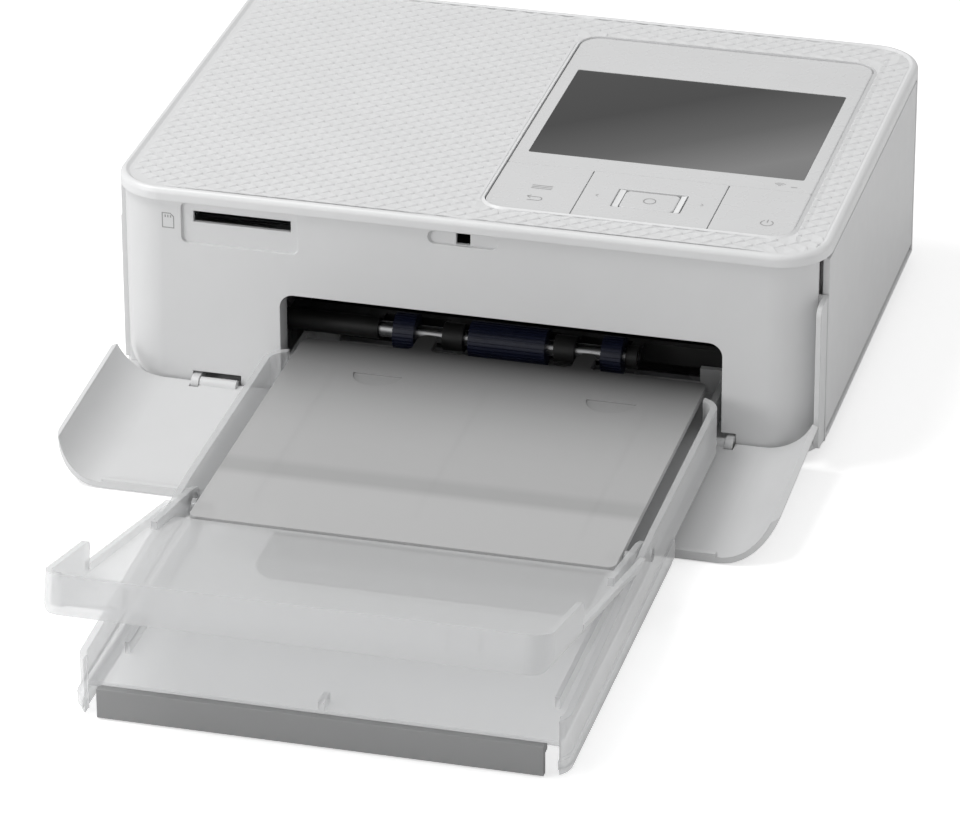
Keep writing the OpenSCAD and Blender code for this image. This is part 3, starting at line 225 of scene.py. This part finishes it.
def display():
    """Dark glass with a painted reflection that makes it lighter toward the front right corner."""
    slope_x, slope_y = 9.0, 12.0
    look = Look("display_dark", grey(0.1), 0.16)
    axis = look.stretched((slope_x, -slope_y, 0.0))
    split = look.add("ShaderNodeSeparateXYZ")
    look.link(axis, split.inputs["Vector"])
    total = look.add("ShaderNodeMath", operation="ADD")
    look.link(split.outputs["X"], total.inputs[0])
    look.link(split.outputs["Y"], total.inputs[1])
    span = look.add("ShaderNodeMapRange")
    lo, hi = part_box("lcd_window")
    span.inputs["From Min"].default_value = lo.x * slope_x - hi.y * slope_y
    span.inputs["From Max"].default_value = hi.x * slope_x - lo.y * slope_y
    look.link(total.outputs["Value"], span.inputs["Value"])
    # The lighter stops toward the front right are a painted reflection on the glass
    stops = [(0.0, grey(0.05)), (0.35, grey(0.04)), (0.62, grey(0.105)), (0.85, grey(0.22)), (1.0, grey(0.2))]
    look.link(look.ramp(span.outputs["Result"], stops), look.shader.inputs["Base Color"])
    look.vary("Roughness", look.noise(90, 3), 0.14, 0.2)
    look.set("Specular IOR Level", 0.3)
    return look


EDGE_HAZE = 0.35
PANE_CLEARNESS = 0.97


def frosted(name, value, rough, haze):
    """Frosted translucent plastic: a pane with some haze, and more where it is seen at a slant."""
    look = Look(name, grey(value, 0.004), rough)
    look.rounded(0.25)
    look.vary("Roughness", look.noise(140, 4), rough - 0.03, rough + 0.03)
    look.bump(look.noise(1800, 3), 0.01, 0.4)
    clear = look.add("ShaderNodeBsdfTransparent")
    clear.inputs["Color"].default_value = (*grey(PANE_CLEARNESS, 0.002), 1)
    tilt = look.add("ShaderNodeLayerWeight")
    tilt.inputs["Blend"].default_value = 0.25
    thick = look.add("ShaderNodeMapRange")
    thick.inputs["To Min"].default_value = haze
    thick.inputs["To Max"].default_value = min(1.0, haze + EDGE_HAZE)
    look.link(tilt.outputs["Facing"], thick.inputs["Value"])
    mix = look.add("ShaderNodeMixShader")
    look.link(thick.outputs["Result"], mix.inputs["Fac"])
    look.link(clear.outputs["BSDF"], mix.inputs[1])
    look.link(look.shader.outputs["BSDF"], mix.inputs[2])
    look.link(mix.outputs["Shader"], look.tree.nodes["Material Output"].inputs["Surface"])
    return look


# The inner lid's colour has painted shade: a darker blurred band where the tray's cross rib shows through,
# and a darkening toward the mouth as less light gets under it; elsewhere it is pale. Places are along Y in
# the body's frame
LID_PALE, LID_RIB_SHADE, LID_OPEN, LID_MOUTH_SHADE = 0.6, 0.475, 0.54, 0.1
LID_FRONT_Y, LID_REAR_Y = -160, -61
RIB_Y, RIB_HALF, RIB_BLUR = -131, 2, 3.5
FADE_Y, FADE_STEPS = -120, 8


def lid_painted_shade_tones():
    """The lid's (place, grey) pairs of painted shade: the band over the rib, then a fall with the square of
    the way.
    """
    near, far = RIB_Y - RIB_HALF, RIB_Y + RIB_HALF
    tones = [(LID_FRONT_Y, LID_PALE), (near - RIB_BLUR, LID_PALE), (near, LID_RIB_SHADE),
             (far, LID_RIB_SHADE), (far + RIB_BLUR, LID_OPEN)]
    for k in range(FADE_STEPS + 1):
        t = k / FADE_STEPS
        tones.append((FADE_Y + (LID_REAR_Y - FADE_Y) * t, LID_OPEN + (LID_MOUTH_SHADE - LID_OPEN) * t * t))
    return tones


def paint_lid_shade(look):
    """Gives the lid's colour its run of painted shade tones along Y."""
    split = look.add("ShaderNodeSeparateXYZ")
    look.link(look.place, split.inputs["Vector"])
    span = look.add("ShaderNodeMapRange")
    span.inputs["From Min"].default_value = (LID_FRONT_Y + BODY_Y) * MM
    span.inputs["From Max"].default_value = (LID_REAR_Y + BODY_Y) * MM
    look.link(split.outputs["Y"], span.inputs["Value"])
    length = LID_REAR_Y - LID_FRONT_Y
    stops = [((y - LID_FRONT_Y) / length, grey(tone)) for y, tone in lid_painted_shade_tones()]
    look.link(look.ramp(span.outputs["Result"], stops), look.shader.inputs["Base Color"])


def rubber(name, colour, rough):
    """Dull rubber with a fine grain."""
    look = Look(name, colour, rough)
    dark = tuple(c * 0.8 for c in colour)
    look.colour(look.noise(300, 4), dark, colour)
    look.vary("Roughness", look.noise(500, 4), rough - 0.08, rough + 0.08)
    look.bump(look.noise(2500, 3), 0.03, 0.6)
    return look


def brushed(name, value, rough, stretch):
    """Metal with fine brush lines along one axis."""
    look = Look(name, grey(value, 0.01), rough, 1.0)
    lines = look.noise(900, 3, 0.6, look.stretched(stretch))
    look.colour(lines, grey(value * 0.85, 0.01), grey(value, 0.01))
    look.vary("Roughness", lines, rough - 0.08, rough + 0.1)
    look.bump(lines, 0.01, 0.4)
    return look


def zinc_sheet():
    """Plated sheet with its spangle."""
    look = Look("sheet_steel", grey(0.55, 0.015), 0.4, 1.0)
    cells = look.cells(180)
    look.colour(cells.outputs["Color"], grey(0.42, 0.02), grey(0.6, 0.01))
    look.vary("Roughness", look.noise(120, 3), 0.32, 0.5)
    look.bump(look.noise(900, 3), 0.01, 0.3)
    return look


def black_plastic():
    """Matte black plastic with a fine grain."""
    look = Look("black_plastic", grey(0.012), 0.5)
    look.colour(look.noise(80, 3), grey(0.009), grey(0.015))
    look.vary("Roughness", look.noise(300, 3), 0.42, 0.58)
    look.bump(look.noise(2600, 2), 0.02, 0.5)
    look.set("Specular IOR Level", 0.35)
    return look


def circuit_board():
    """Solder mask with tracks and pads."""
    look = Look("board_green", (0.02, 0.12, 0.06), 0.35)
    tracks = look.add("ShaderNodeTexBrick")
    tracks.inputs["Scale"].default_value = 260
    tracks.inputs["Mortar Size"].default_value = 0.012
    tracks.inputs["Color1"].default_value = (0.015, 0.10, 0.05, 1)
    tracks.inputs["Color2"].default_value = (0.02, 0.13, 0.06, 1)
    tracks.inputs["Mortar"].default_value = (0.05, 0.22, 0.11, 1)
    look.link(look.place, tracks.inputs["Vector"])
    look.link(tracks.outputs["Color"], look.shader.inputs["Base Color"])
    look.vary("Roughness", look.noise(200, 3), 0.28, 0.42)
    look.bump(tracks.outputs["Fac"], 0.02, 0.5)
    return look


def acetal():
    """Natural white plastic of the gears."""
    look = Look("gear_white", (0.72, 0.70, 0.64), 0.38)
    look.colour(look.noise(200, 3), (0.68, 0.66, 0.60), (0.74, 0.72, 0.66))
    look.vary("Roughness", look.noise(400, 3), 0.32, 0.45)
    look.bump(look.noise(1500, 2), 0.01, 0.3)
    return look


def wound_film():
    """Film wound on a core: fine rings along the roll."""
    look = Look("core_tan", (0.2, 0.13, 0.05), 0.3)
    rings = look.noise(1400, 2, 0.5, look.stretched((1.0, 0.02, 0.02)))
    look.colour(rings, (0.15, 0.1, 0.035), (0.26, 0.18, 0.07))
    look.vary("Roughness", rings, 0.22, 0.4)
    look.bump(rings, 0.02, 0.4)
    return look


def dye_film():
    """Thin glossy film that is a little uneven."""
    look = Look("film_amber", (0.5, 0.32, 0.06), 0.2)
    look.colour(look.noise(30, 3), (0.45, 0.28, 0.05), (0.55, 0.36, 0.08))
    look.vary("Roughness", look.noise(160, 3), 0.14, 0.26)
    look.bump(look.noise(90, 2), 0.05, 0.3)
    return look


def print_ink():
    """Grey ink of the printed symbols."""
    look = Look("print_ink", grey(0.33), 0.5)
    look.colour(look.noise(900, 2), grey(0.30), grey(0.36))
    return look


LOOKS = {
    "cover_white": pearl_cover(),
    "shell_white": moulded("shell_white", 0.73, 0.42, 0.02),
    "fascia_white": moulded("fascia_white", 0.74, 0.44, 0.02),
    "panel_white": gloss_panel(),
    "display_dark": display(),
    "frosted": frosted("frosted", 0.80, 0.35, 0.30),
    "bar_grey": moulded("bar_grey", 0.31, 0.42, 0.01, 0.006),
    "foot_rubber": rubber("foot_rubber", (0.02, 0.02, 0.02), 0.8),
    "roller_rubber": rubber("roller_rubber", (0.006, 0.009, 0.03), 0.5),
    "platen_rubber": rubber("platen_rubber", (0.02, 0.02, 0.022), 0.65),
    "steel": brushed("steel", 0.58, 0.3, (0.05, 1.0, 1.0)),
    "sheet_steel": zinc_sheet(),
    "sink_aluminium": brushed("sink_aluminium", 0.68, 0.35, (0.05, 1.0, 1.0)),
    "black_plastic": black_plastic(),
    "gear_white": acetal(),
    "board_green": circuit_board(),
    "core_tan": wound_film(),
    "film_amber": dye_film(),
}
INK = print_ink()
# A lighter copy of the panel white: a painted highlight on the OK key's cheeks
HIGHLIGHT_CHEEK = moulded("cheek_painted_highlight", 0.93, 0.2, 0.004, edge=0)
# The inner lid's material carries painted shade along Y
SHADED_INNER_LID = frosted("frosted_lid_painted_shade", 0.80, 0.4, 0.72)
paint_lid_shade(SHADED_INNER_LID)
SLOT_OF = {part["node"]: part["material_slot"] for part in frame["record"]["subparts"]}


def dress(obj, look):
    """Gives an object this one material."""
    obj.data.materials.clear()
    obj.data.materials.append(look.mat)


def dress_nodes():
    """Gives each CAD node the look of its material slot."""
    for name, obj in NODES.items():
        dress(obj, SHADED_INNER_LID if name == "inner_lid" else LOOKS[SLOT_OF[name]])


# Soft edges on the CAD nodes

def soften(name, width, segments=2, angle=32):
    """Rounds the node's sharp edges by modifiers, which leave its mesh as it is."""
    obj = NODES[name]
    obj.data.polygons.foreach_set("use_smooth", [True] * len(obj.data.polygons))
    weld = obj.modifiers.new("weld", "WELD")
    weld.merge_threshold = 1e-6
    flat = obj.modifiers.new("flat", "DECIMATE")
    flat.decimate_type = "DISSOLVE"
    flat.angle_limit = math.radians(1)
    bevel = obj.modifiers.new("bevel", "BEVEL")
    bevel.width = width * MM
    bevel.segments = segments
    bevel.limit_method = "ANGLE"
    bevel.angle_limit = math.radians(angle)
    bevel.use_clamp_overlap = False
    bevel.harden_normals = True
    normals = obj.modifiers.new("normals", "WEIGHTED_NORMAL")
    normals.keep_sharp = True


SOFT = {"front_fascia": 0.09, "cassette_tray": 0.1, "inner_lid": 0.08, "cassette_bar": 0.2,
        "tray_base_plate": 0.15, "left_key": 0.12, "rocker_key": 0.12, "ok_key": 0.12, "power_key": 0.12,
        "ink_door": 0.2, "rubber_feet": 0.3, "case_screws": 0.1, "rear_slot_guide": 0.15,
        "power_inlet": 0.2, "data_port": 0.06, "pickup_bracket": 0.15, "exit_guide": 0.1}


# Pieces drawn on the CAD faces

def new_piece(name, bm, body, look, smooth=False):
    """Makes an object of the mesh that rides on a body and carries a material slot's name."""
    mesh = bpy.data.meshes.new(name)
    bm.to_mesh(mesh)
    bm.free()
    if smooth:
        mesh.polygons.foreach_set("use_smooth", [True] * len(mesh.polygons))
    obj = bpy.data.objects.new(name, mesh)
    scene.collection.objects.link(obj)
    mesh.materials.append(look.mat)
    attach(obj, body)
    return obj


# The relief of the top cover: small facets that rise to the right, on a half offset lattice

CELL_X, CELL_Y = 2.585, 4.232
FIRST_X, FIRST_Y = 1.07, 0.1
FACET = 0.9
RELIEF_BASE = COVER_TOP - 0.5
RELIEF_LOW, RELIEF_HIGH = 0.0, 0.46
RIM = 0.8
RIM_MARGIN = 0.25
OUTER_CORNER, PANEL_CORNER, HOLE_CORNER = 10.5, 6.6, 5.7
LEAST_FACET = 0.4
COLUMNS, ROWS = 40, 20
LINE = 0.01


def top_faces(bm):
    """The flat faces of the cover's top."""
    top = COVER_TOP * MM
    return [f for f in bm.faces if f.normal.z > 0.999 and all(abs(v.co.z - top) < 1e-6 for v in f.verts)]


def boundary_loops(faces):
    """Closed loops of points round a set of faces."""
    inside = set(faces)
    edges = dict.fromkeys(e for f in faces for e in f.edges
                          if sum(1 for g in e.link_faces if g in inside) == 1)
    loops = []
    while edges:
        edge = next(iter(edges))
        del edges[edge]
        start, here = edge.verts
        loop = [start, here]
        while here is not start:
            edge = next(e for e in here.link_edges if e in edges)
            del edges[edge]
            here = edge.other_vert(here)
            loop.append(here)
        loops.append([v.co.copy() for v in loop[:-1]])
    return loops


def in_round_rect(x, y, rect, radius):
    """Whether a point lies in a rectangle (x0, x1, y0, y1) with round corners."""
    x0, x1, y0, y1 = rect
    if not (x0 <= x <= x1 and y0 <= y <= y1):
        return False
    dx = max(x0 + radius - x, x - x1 + radius, 0)
    dy = max(y0 + radius - y, y - y1 + radius, 0)
    return math.hypot(dx, dy) <= radius


def clip(poly, axis, limit, sign):
    """The part of a polygon of (x, y, z) points on one side of a line."""
    out = []
    for a, b in zip(poly, poly[1:] + poly[:1]):
        da, db = sign * (a[axis] - limit), sign * (b[axis] - limit)
        if da >= 0:
            out.append(a)
        if da * db < 0:
            t = da / (da - db)
            out.append(tuple(p + (q - p) * t for p, q in zip(a, b)))
    return out


def extent(loop):
    """The loop's rectangle (x0, x1, y0, y1) in the body's millimetres."""
    xs = [v.x / MM for v in loop]
    ys = [v.y / MM - BODY_Y for v in loop]
    return min(xs), max(xs), min(ys), max(ys)


def shrink(rect, by):
    """The rectangle with each side moved inward by a distance."""
    return rect[0] + by, rect[1] - by, rect[2] + by, rect[3] - by


def facets(outer, outer_r, hole, hole_r):
    """Facet polygons inside outer and outside hole, in millimetres."""
    found = []
    for i in range(-COLUMNS, COLUMNS + 1):
        for j in range(-ROWS, ROWS + 1):
            x = FIRST_X + CELL_X * i
            y = FIRST_Y + CELL_Y * (j + 0.5 * (i % 2))
            poly = [(x + FACET * dx * CELL_X, y + FACET * dy * CELL_Y, RELIEF_BASE + dz) for dx, dy, dz in
                    ((-1 / 3, -0.5, RELIEF_LOW), (2 / 3, 0, RELIEF_HIGH), (-1 / 3, 0.5, RELIEF_LOW))]
            for axis in (0, 1):
                poly = clip(poly, axis, outer[2 * axis], 1) if poly else poly
                poly = clip(poly, axis, outer[2 * axis + 1], -1) if poly else poly
            if hole[2] < y < hole[3] and poly:
                on_left = x < (hole[0] + hole[1]) / 2
                poly = clip(poly, 0, hole[0], -1) if on_left else clip(poly, 0, hole[1], 1)
            elif hole[0] < x < hole[1] and poly:
                in_front = y < hole[2]
                poly = clip(poly, 1, hole[2], -1) if in_front else clip(poly, 1, hole[3], 1)
            if len(poly) < 3:
                continue
            if not all(in_round_rect(p[0], p[1], shrink(outer, -LINE), outer_r) for p in poly):
                continue
            if any(in_round_rect(p[0], p[1], shrink(hole, LINE), hole_r) for p in poly):
                continue
            area = abs(sum(a[0] * b[1] - b[0] * a[1] for a, b in zip(poly, poly[1:] + poly[:1]))) / 2
            if area > LEAST_FACET:
                found.append(poly)
    return found


def inset_loop(loop, by):
    """The loop's points moved toward its left side by a distance in millimetres."""
    out = []
    n = len(loop)
    for k in range(n):
        ahead = (loop[(k + 1) % n] - loop[k]).normalized()
        behind = (loop[k] - loop[k - 1]).normalized()
        turn = (ahead + behind).normalized()
        side = Vector((-turn.y, turn.x, 0))
        out.append(loop[k] + side * by * MM / max(side.dot(Vector((-ahead.y, ahead.x, 0))), 0.5))
    return out


def signed_area(loop):
    return sum(a.x * b.y - b.x * a.y for a, b in zip(loop, loop[1:] + loop[:1])) / 2


def relief_cover():
    """The top cover's CAD mesh with its flat top face cut up into the relief."""
    bm = bmesh.new()
    bm.from_mesh(NODES["top_cover"].data)
    bmesh.ops.remove_doubles(bm, verts=bm.verts, dist=1e-6)
    bm.normal_update()
    faces = top_faces(bm)
    loops = sorted(boundary_loops(faces), key=lambda l: -abs(signed_area(l)))
    bmesh.ops.delete(bm, geom=faces, context="FACES_ONLY")
    rim, hole = loops[0], loops[1]
    if signed_area(rim) < 0:
        rim.reverse()
    if signed_area(hole) > 0:
        hole.reverse()
    rim_in, hole_in = inset_loop(rim, RIM), inset_loop(hole, RIM)
    for v in rim_in + hole_in:
        v.z = RELIEF_BASE * MM
    outer = shrink(extent(rim_in), RIM_MARGIN)
    inner = shrink(extent(hole_in), -RIM_MARGIN)
    points, edges = [], []

    def ring(places):
        first = len(points)
        points.extend(places)
        edges.extend((first + k, first + (k + 1) % len(places)) for k in range(len(places)))

    for loop in (rim, hole, rim_in, hole_in):
        ring(loop)
    for poly in facets(outer, OUTER_CORNER, inner, PANEL_CORNER):
        ring([at(*p) for p in poly])
    flat = [Vector((p.x, p.y)) for p in points]
    verts, _, tris, orig, _, _ = geometry.delaunay_2d_cdt(flat, edges, [], 0, 1e-9)
    hx0, hx1, hy0, hy1 = extent(hole)
    made = []
    for v, source in zip(verts, orig):
        z = points[source[0]].z if source else RELIEF_BASE * MM
        made.append(bm.verts.new((v.x, v.y, z)))
    for tri in tris:
        cx = sum(verts[k].x for k in tri) / 3 / MM
        cy = sum(verts[k].y for k in tri) / 3 / MM - BODY_Y
        if not in_round_rect(cx, cy, (hx0, hx1, hy0, hy1), HOLE_CORNER):
            face = bm.faces.new([made[k] for k in tri])
            if face.normal.z < 0:
                face.normal_flip()
            face.smooth = False
    bmesh.ops.remove_doubles(bm, verts=bm.verts, dist=1e-7)
    loose = [v for v in bm.verts if not v.link_faces]
    bmesh.ops.delete(bm, geom=loose, context="VERTS")
    obj = new_piece("relief_cover", bm, "housing", LOOKS["cover_white"])
    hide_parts("top_cover")
    return obj


# Printed symbols, as thin raised ink

INK_T = 0.02


def stroke(bm, points, width, z, closed=False):
    """A flat band along points (x, y) in millimetres."""
    n = len(points)
    rails = []
    for k in range(n):
        a = points[k - 1] if closed or k else points[k]
        b = points[(k + 1) % n] if closed or k < n - 1 else points[k]
        along = Vector((b[0] - a[0], b[1] - a[1]))
        along = along.normalized() if along.length else Vector((1, 0))
        side = Vector((-along.y, along.x)) * width / 2
        x, y = points[k]
        rails.append([bm.verts.new(at(x + s * side.x, y + s * side.y, z)) for s in (1, -1)])
    for k in range(n if closed else n - 1):
        a, b = rails[k], rails[(k + 1) % n]
        bm.faces.new((a[0], a[1], b[1], b[0]))


def arc(cx, cy, r, start, end, steps=24):
    """Points along an arc round (cx, cy) between two angles in degrees."""
    return [(cx + r * math.cos(math.radians(start + (end - start) * k / steps)),
             cy + r * math.sin(math.radians(start + (end - start) * k / steps))) for k in range(steps + 1)]


def symbol(name, body, draw):
    """A printed mark, drawn by a function, that rides on a body."""
    bm = bmesh.new()
    draw(bm)
    bmesh.ops.recalc_face_normals(bm, faces=bm.faces)
    for f in bm.faces:
        if f.normal.z < 0:
            f.normal_flip()
    return new_piece(name, bm, body, INK)


def key_top(node):
    """The height of ink on a key, in millimetres."""
    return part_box(node)[1].z / MM + INK_T


def back_arrow(bm):
    z = key_top("left_key")
    x, y = 14.2, -48.3
    stroke(bm, [(x - 1.9, y + 0.9), (x + 1.0, y + 0.9)], 0.28, z)
    stroke(bm, arc(x + 1.0, y - 0.1, 1.0, 90, -90, 12), 0.28, z)
    stroke(bm, [(x + 1.0, y - 1.1), (x - 1.6, y - 1.1)], 0.28, z)
    stroke(bm, [(x - 1.0, y + 1.7), (x - 1.9, y + 0.9), (x - 1.0, y + 0.1)], 0.26, z)


def list_bars(bm):
    z = key_top("left_key")
    x, y = 14.6, -41.6
    half, step = 2.6, 0.85
    for k in (-1, 0, 1):
        stroke(bm, [(x - half, y + step * k), (x + half, y + step * k)], 0.3, z)


def ok_ring(bm):
    lo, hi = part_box("ok_key")
    x = (lo.x + hi.x) / 2 / MM
    y = (lo.y + hi.y) / 2 / MM - BODY_Y
    stroke(bm, arc(x, y, 1.5, 0, 345, 30), 0.3, key_top("ok_key"), closed=True)


def side_dots(bm):
    z = key_top("rocker_key")
    for x, y, s in ((28.9, -42.7, -1), (55.5, -41.9, 1)):
        stroke(bm, [(x - 0.35 * s, y + 0.6), (x + 0.3 * s, y), (x - 0.35 * s, y - 0.6)], 0.22, z)


def power_mark(bm):
    z = key_top("power_key")
    x, y = 73.2, -48.1
    stroke(bm, arc(x, y, 1.55, 120, 420, 30), 0.26, z)
    stroke(bm, [(x, y + 0.3), (x, y + 2.0)], 0.26, z)


def signal_mark(bm):
    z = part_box("control_panel")[1].z / MM + INK_T
    x, y = 71.6, -26.4
    for r in (0.5, 1.2, 1.9):
        stroke(bm, arc(x, y, r, 45, 135, 10), 0.22, z)
    stroke(bm, [(x + 3.0, y + 0.2), (x + 4.6, y + 0.2)], 0.3, z)


def card_mark(bm):
    """A plain card outline beside the card slot, on the fascia's front face."""
    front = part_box("front_fascia")[0].y / MM - BODY_Y - INK_T
    x, z = -75.6, 48.6
    outline = [(-1.6, -2.1), (1.6, -2.1), (1.6, 1.2), (0.7, 2.1), (-1.6, 2.1)]
    inner = [(a * 0.84, b * 0.88) for a, b in outline]
    rings = [[bm.verts.new(at(x + a, front, z + b)) for a, b in pts] for pts in (outline, inner)]
    for k in range(len(outline)):
        m = (k + 1) % len(outline)
        bm.faces.new((rings[0][k], rings[0][m], rings[1][m], rings[1][k]))
    for k in (-0.7, 0.0, 0.7):
        box = [(k - 0.15, 0.8), (k + 0.15, 0.8), (k + 0.15, 1.5), (k - 0.15, 1.5)]
        bm.faces.new([bm.verts.new(at(x + a, front, z + b)) for a, b in box])


# The web lies just under the key tops, over the gap behind them
WEB_W, WEB_SINK, WEB_END, WEB_BACK = 0.5, 0.04, 0.6, 0.1
# The cheeks start beside the OK key, a little below its top, and rise outward
CHEEK_GAP, CHEEK_W, CHEEK_DIP, CHEEK_LIP, CHEEK_MORE = 0.12, 1.55, 0.28, 0.01, 0.2
CHEEK_STEPS = 8


def turn_up(bm):
    """Turns every face of a thin piece upward."""
    for f in bm.faces:
        f.normal_update()
        if f.normal.z < 0:
            f.normal_flip()


def key_seam():
    """A thin web behind the keys that joins them to the panel, as one moulded sheet has."""
    bm = bmesh.new()
    z = key_top("left_key") - INK_T - WEB_SINK
    lo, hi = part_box("left_key")[0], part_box("power_key")[1]
    y = hi.y / MM - BODY_Y + WEB_BACK
    stroke(bm, [(lo.x / MM + WEB_END, y), (hi.x / MM - WEB_END, y)], WEB_W, z)
    turn_up(bm)
    new_piece("key_seam", bm, "housing", LOOKS["panel_white"])


def ok_cheek(name, near, side):
    """A shiny curved cheek beside the OK key, from its edge at near outward to one side, in a lighter white
    that is a painted highlight.
    """
    lo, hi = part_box("ok_key")
    ends = [lo.y / MM - BODY_Y - CHEEK_MORE, hi.y / MM - BODY_Y + CHEEK_MORE]
    top = key_top("rocker_key") - INK_T
    bm = bmesh.new()
    rows = []
    for k in range(CHEEK_STEPS + 1):
        t = k / CHEEK_STEPS
        x = near + side * (CHEEK_GAP + (CHEEK_W - CHEEK_GAP) * t)
        z = top - CHEEK_DIP + (CHEEK_DIP - CHEEK_LIP) * (1 - math.cos(t * math.pi / 2))
        rows.append([bm.verts.new(at(x, y, z)) for y in ends])
    for a, b in zip(rows, rows[1:]):
        bm.faces.new((a[0], b[0], b[1], a[1]))
    turn_up(bm)
    new_piece(name, bm, "rocker_key_body", HIGHLIGHT_CHEEK, smooth=True)


def ok_cheeks():
    lo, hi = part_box("ok_key")
    ok_cheek("ok_cheek_left", lo.x / MM, -1)
    ok_cheek("ok_cheek_right", hi.x / MM, 1)


def symbols():
    symbol("back_arrow", "left_key_body", back_arrow)
    symbol("list_bars", "left_key_body", list_bars)
    symbol("ok_ring", "ok_key_body", ok_ring)
    symbol("side_marks", "rocker_key_body", side_dots)
    symbol("power_mark", "power_key_body", power_mark)
    symbol("signal_mark", "housing", signal_mark)
    symbol("card_mark", "housing", card_mark)


# Floor, world and lamps

FLOOR_HALF = 3
FLOOR_GLOW = 0.55
WORLD_LIGHT = 0.46
LAMP_TARGET = (0, 0, 0.03)


def floor():
    """Pale floor that reads white where no shadow falls."""
    bm = bmesh.new()
    bmesh.ops.create_grid(bm, x_segments=1, y_segments=1, size=FLOOR_HALF)
    mesh = bpy.data.meshes.new("floor")
    bm.to_mesh(mesh)
    bm.free()
    obj = bpy.data.objects.new("floor", mesh)
    scene.collection.objects.link(obj)
    look = Look("floor", grey(0.8), 0.9)
    look.set("Specular IOR Level", 0.0)
    rays = look.add("ShaderNodeLightPath")
    seen = look.add("ShaderNodeMath", operation="MAXIMUM")
    look.link(rays.outputs["Is Camera Ray"], seen.inputs[0])
    look.link(rays.outputs["Is Transmission Ray"], seen.inputs[1])
    glow = look.add("ShaderNodeEmission")
    glow.inputs["Color"].default_value = (*grey(FLOOR_GLOW), 1)
    both = look.add("ShaderNodeAddShader")
    look.link(look.shader.outputs["BSDF"], both.inputs[0])
    look.link(glow.outputs["Emission"], both.inputs[1])
    mix = look.add("ShaderNodeMixShader")
    look.link(seen.outputs["Value"], mix.inputs["Fac"])
    look.link(look.shader.outputs["BSDF"], mix.inputs[1])
    look.link(both.outputs["Shader"], mix.inputs[2])
    out = look.tree.nodes["Material Output"]
    look.link(mix.outputs["Shader"], out.inputs["Surface"])
    mesh.materials.append(look.mat)


def world():
    made = bpy.data.worlds.new("world")
    scene.world = made
    made.use_nodes = True
    back = made.node_tree.nodes["Background"]
    back.inputs["Color"].default_value = (1, 1, 1, 1)
    back.inputs["Strength"].default_value = WORLD_LIGHT


def lamp(name, place, target, size, power):
    """A round soft lamp of this size in metres and power in watts."""
    data = bpy.data.lights.new(name, "AREA")
    data.shape = "DISK"
    data.size = size
    data.energy = power
    obj = bpy.data.objects.new(name, data)
    scene.collection.objects.link(obj)
    obj.location = place
    obj.rotation_euler = (Vector(target) - Vector(place)).to_track_quat("-Z", "Y").to_euler()
    return obj


def lamps():
    """A soft key lamp from the upper left, a low one from the left front and a weak one from the right."""
    lamp("key_lamp", (-0.75, -0.15, 1.3), LAMP_TARGET, 0.8, 11)
    lamp("left_lamp", (-0.75, -0.8, 0.3), (-0.05, 0, 0.03), 0.5, 3.2)
    lamp("right_lamp", (1.3, 0.2, 0.5), LAMP_TARGET, 0.8, 2.0)


make_camera()
scene.view_settings.view_transform = "Standard"
dress_nodes()
for part, width in SOFT.items():
    soften(part, width)
relief_cover()
symbols()
key_seam()
ok_cheeks()
floor()
world()
lamps()
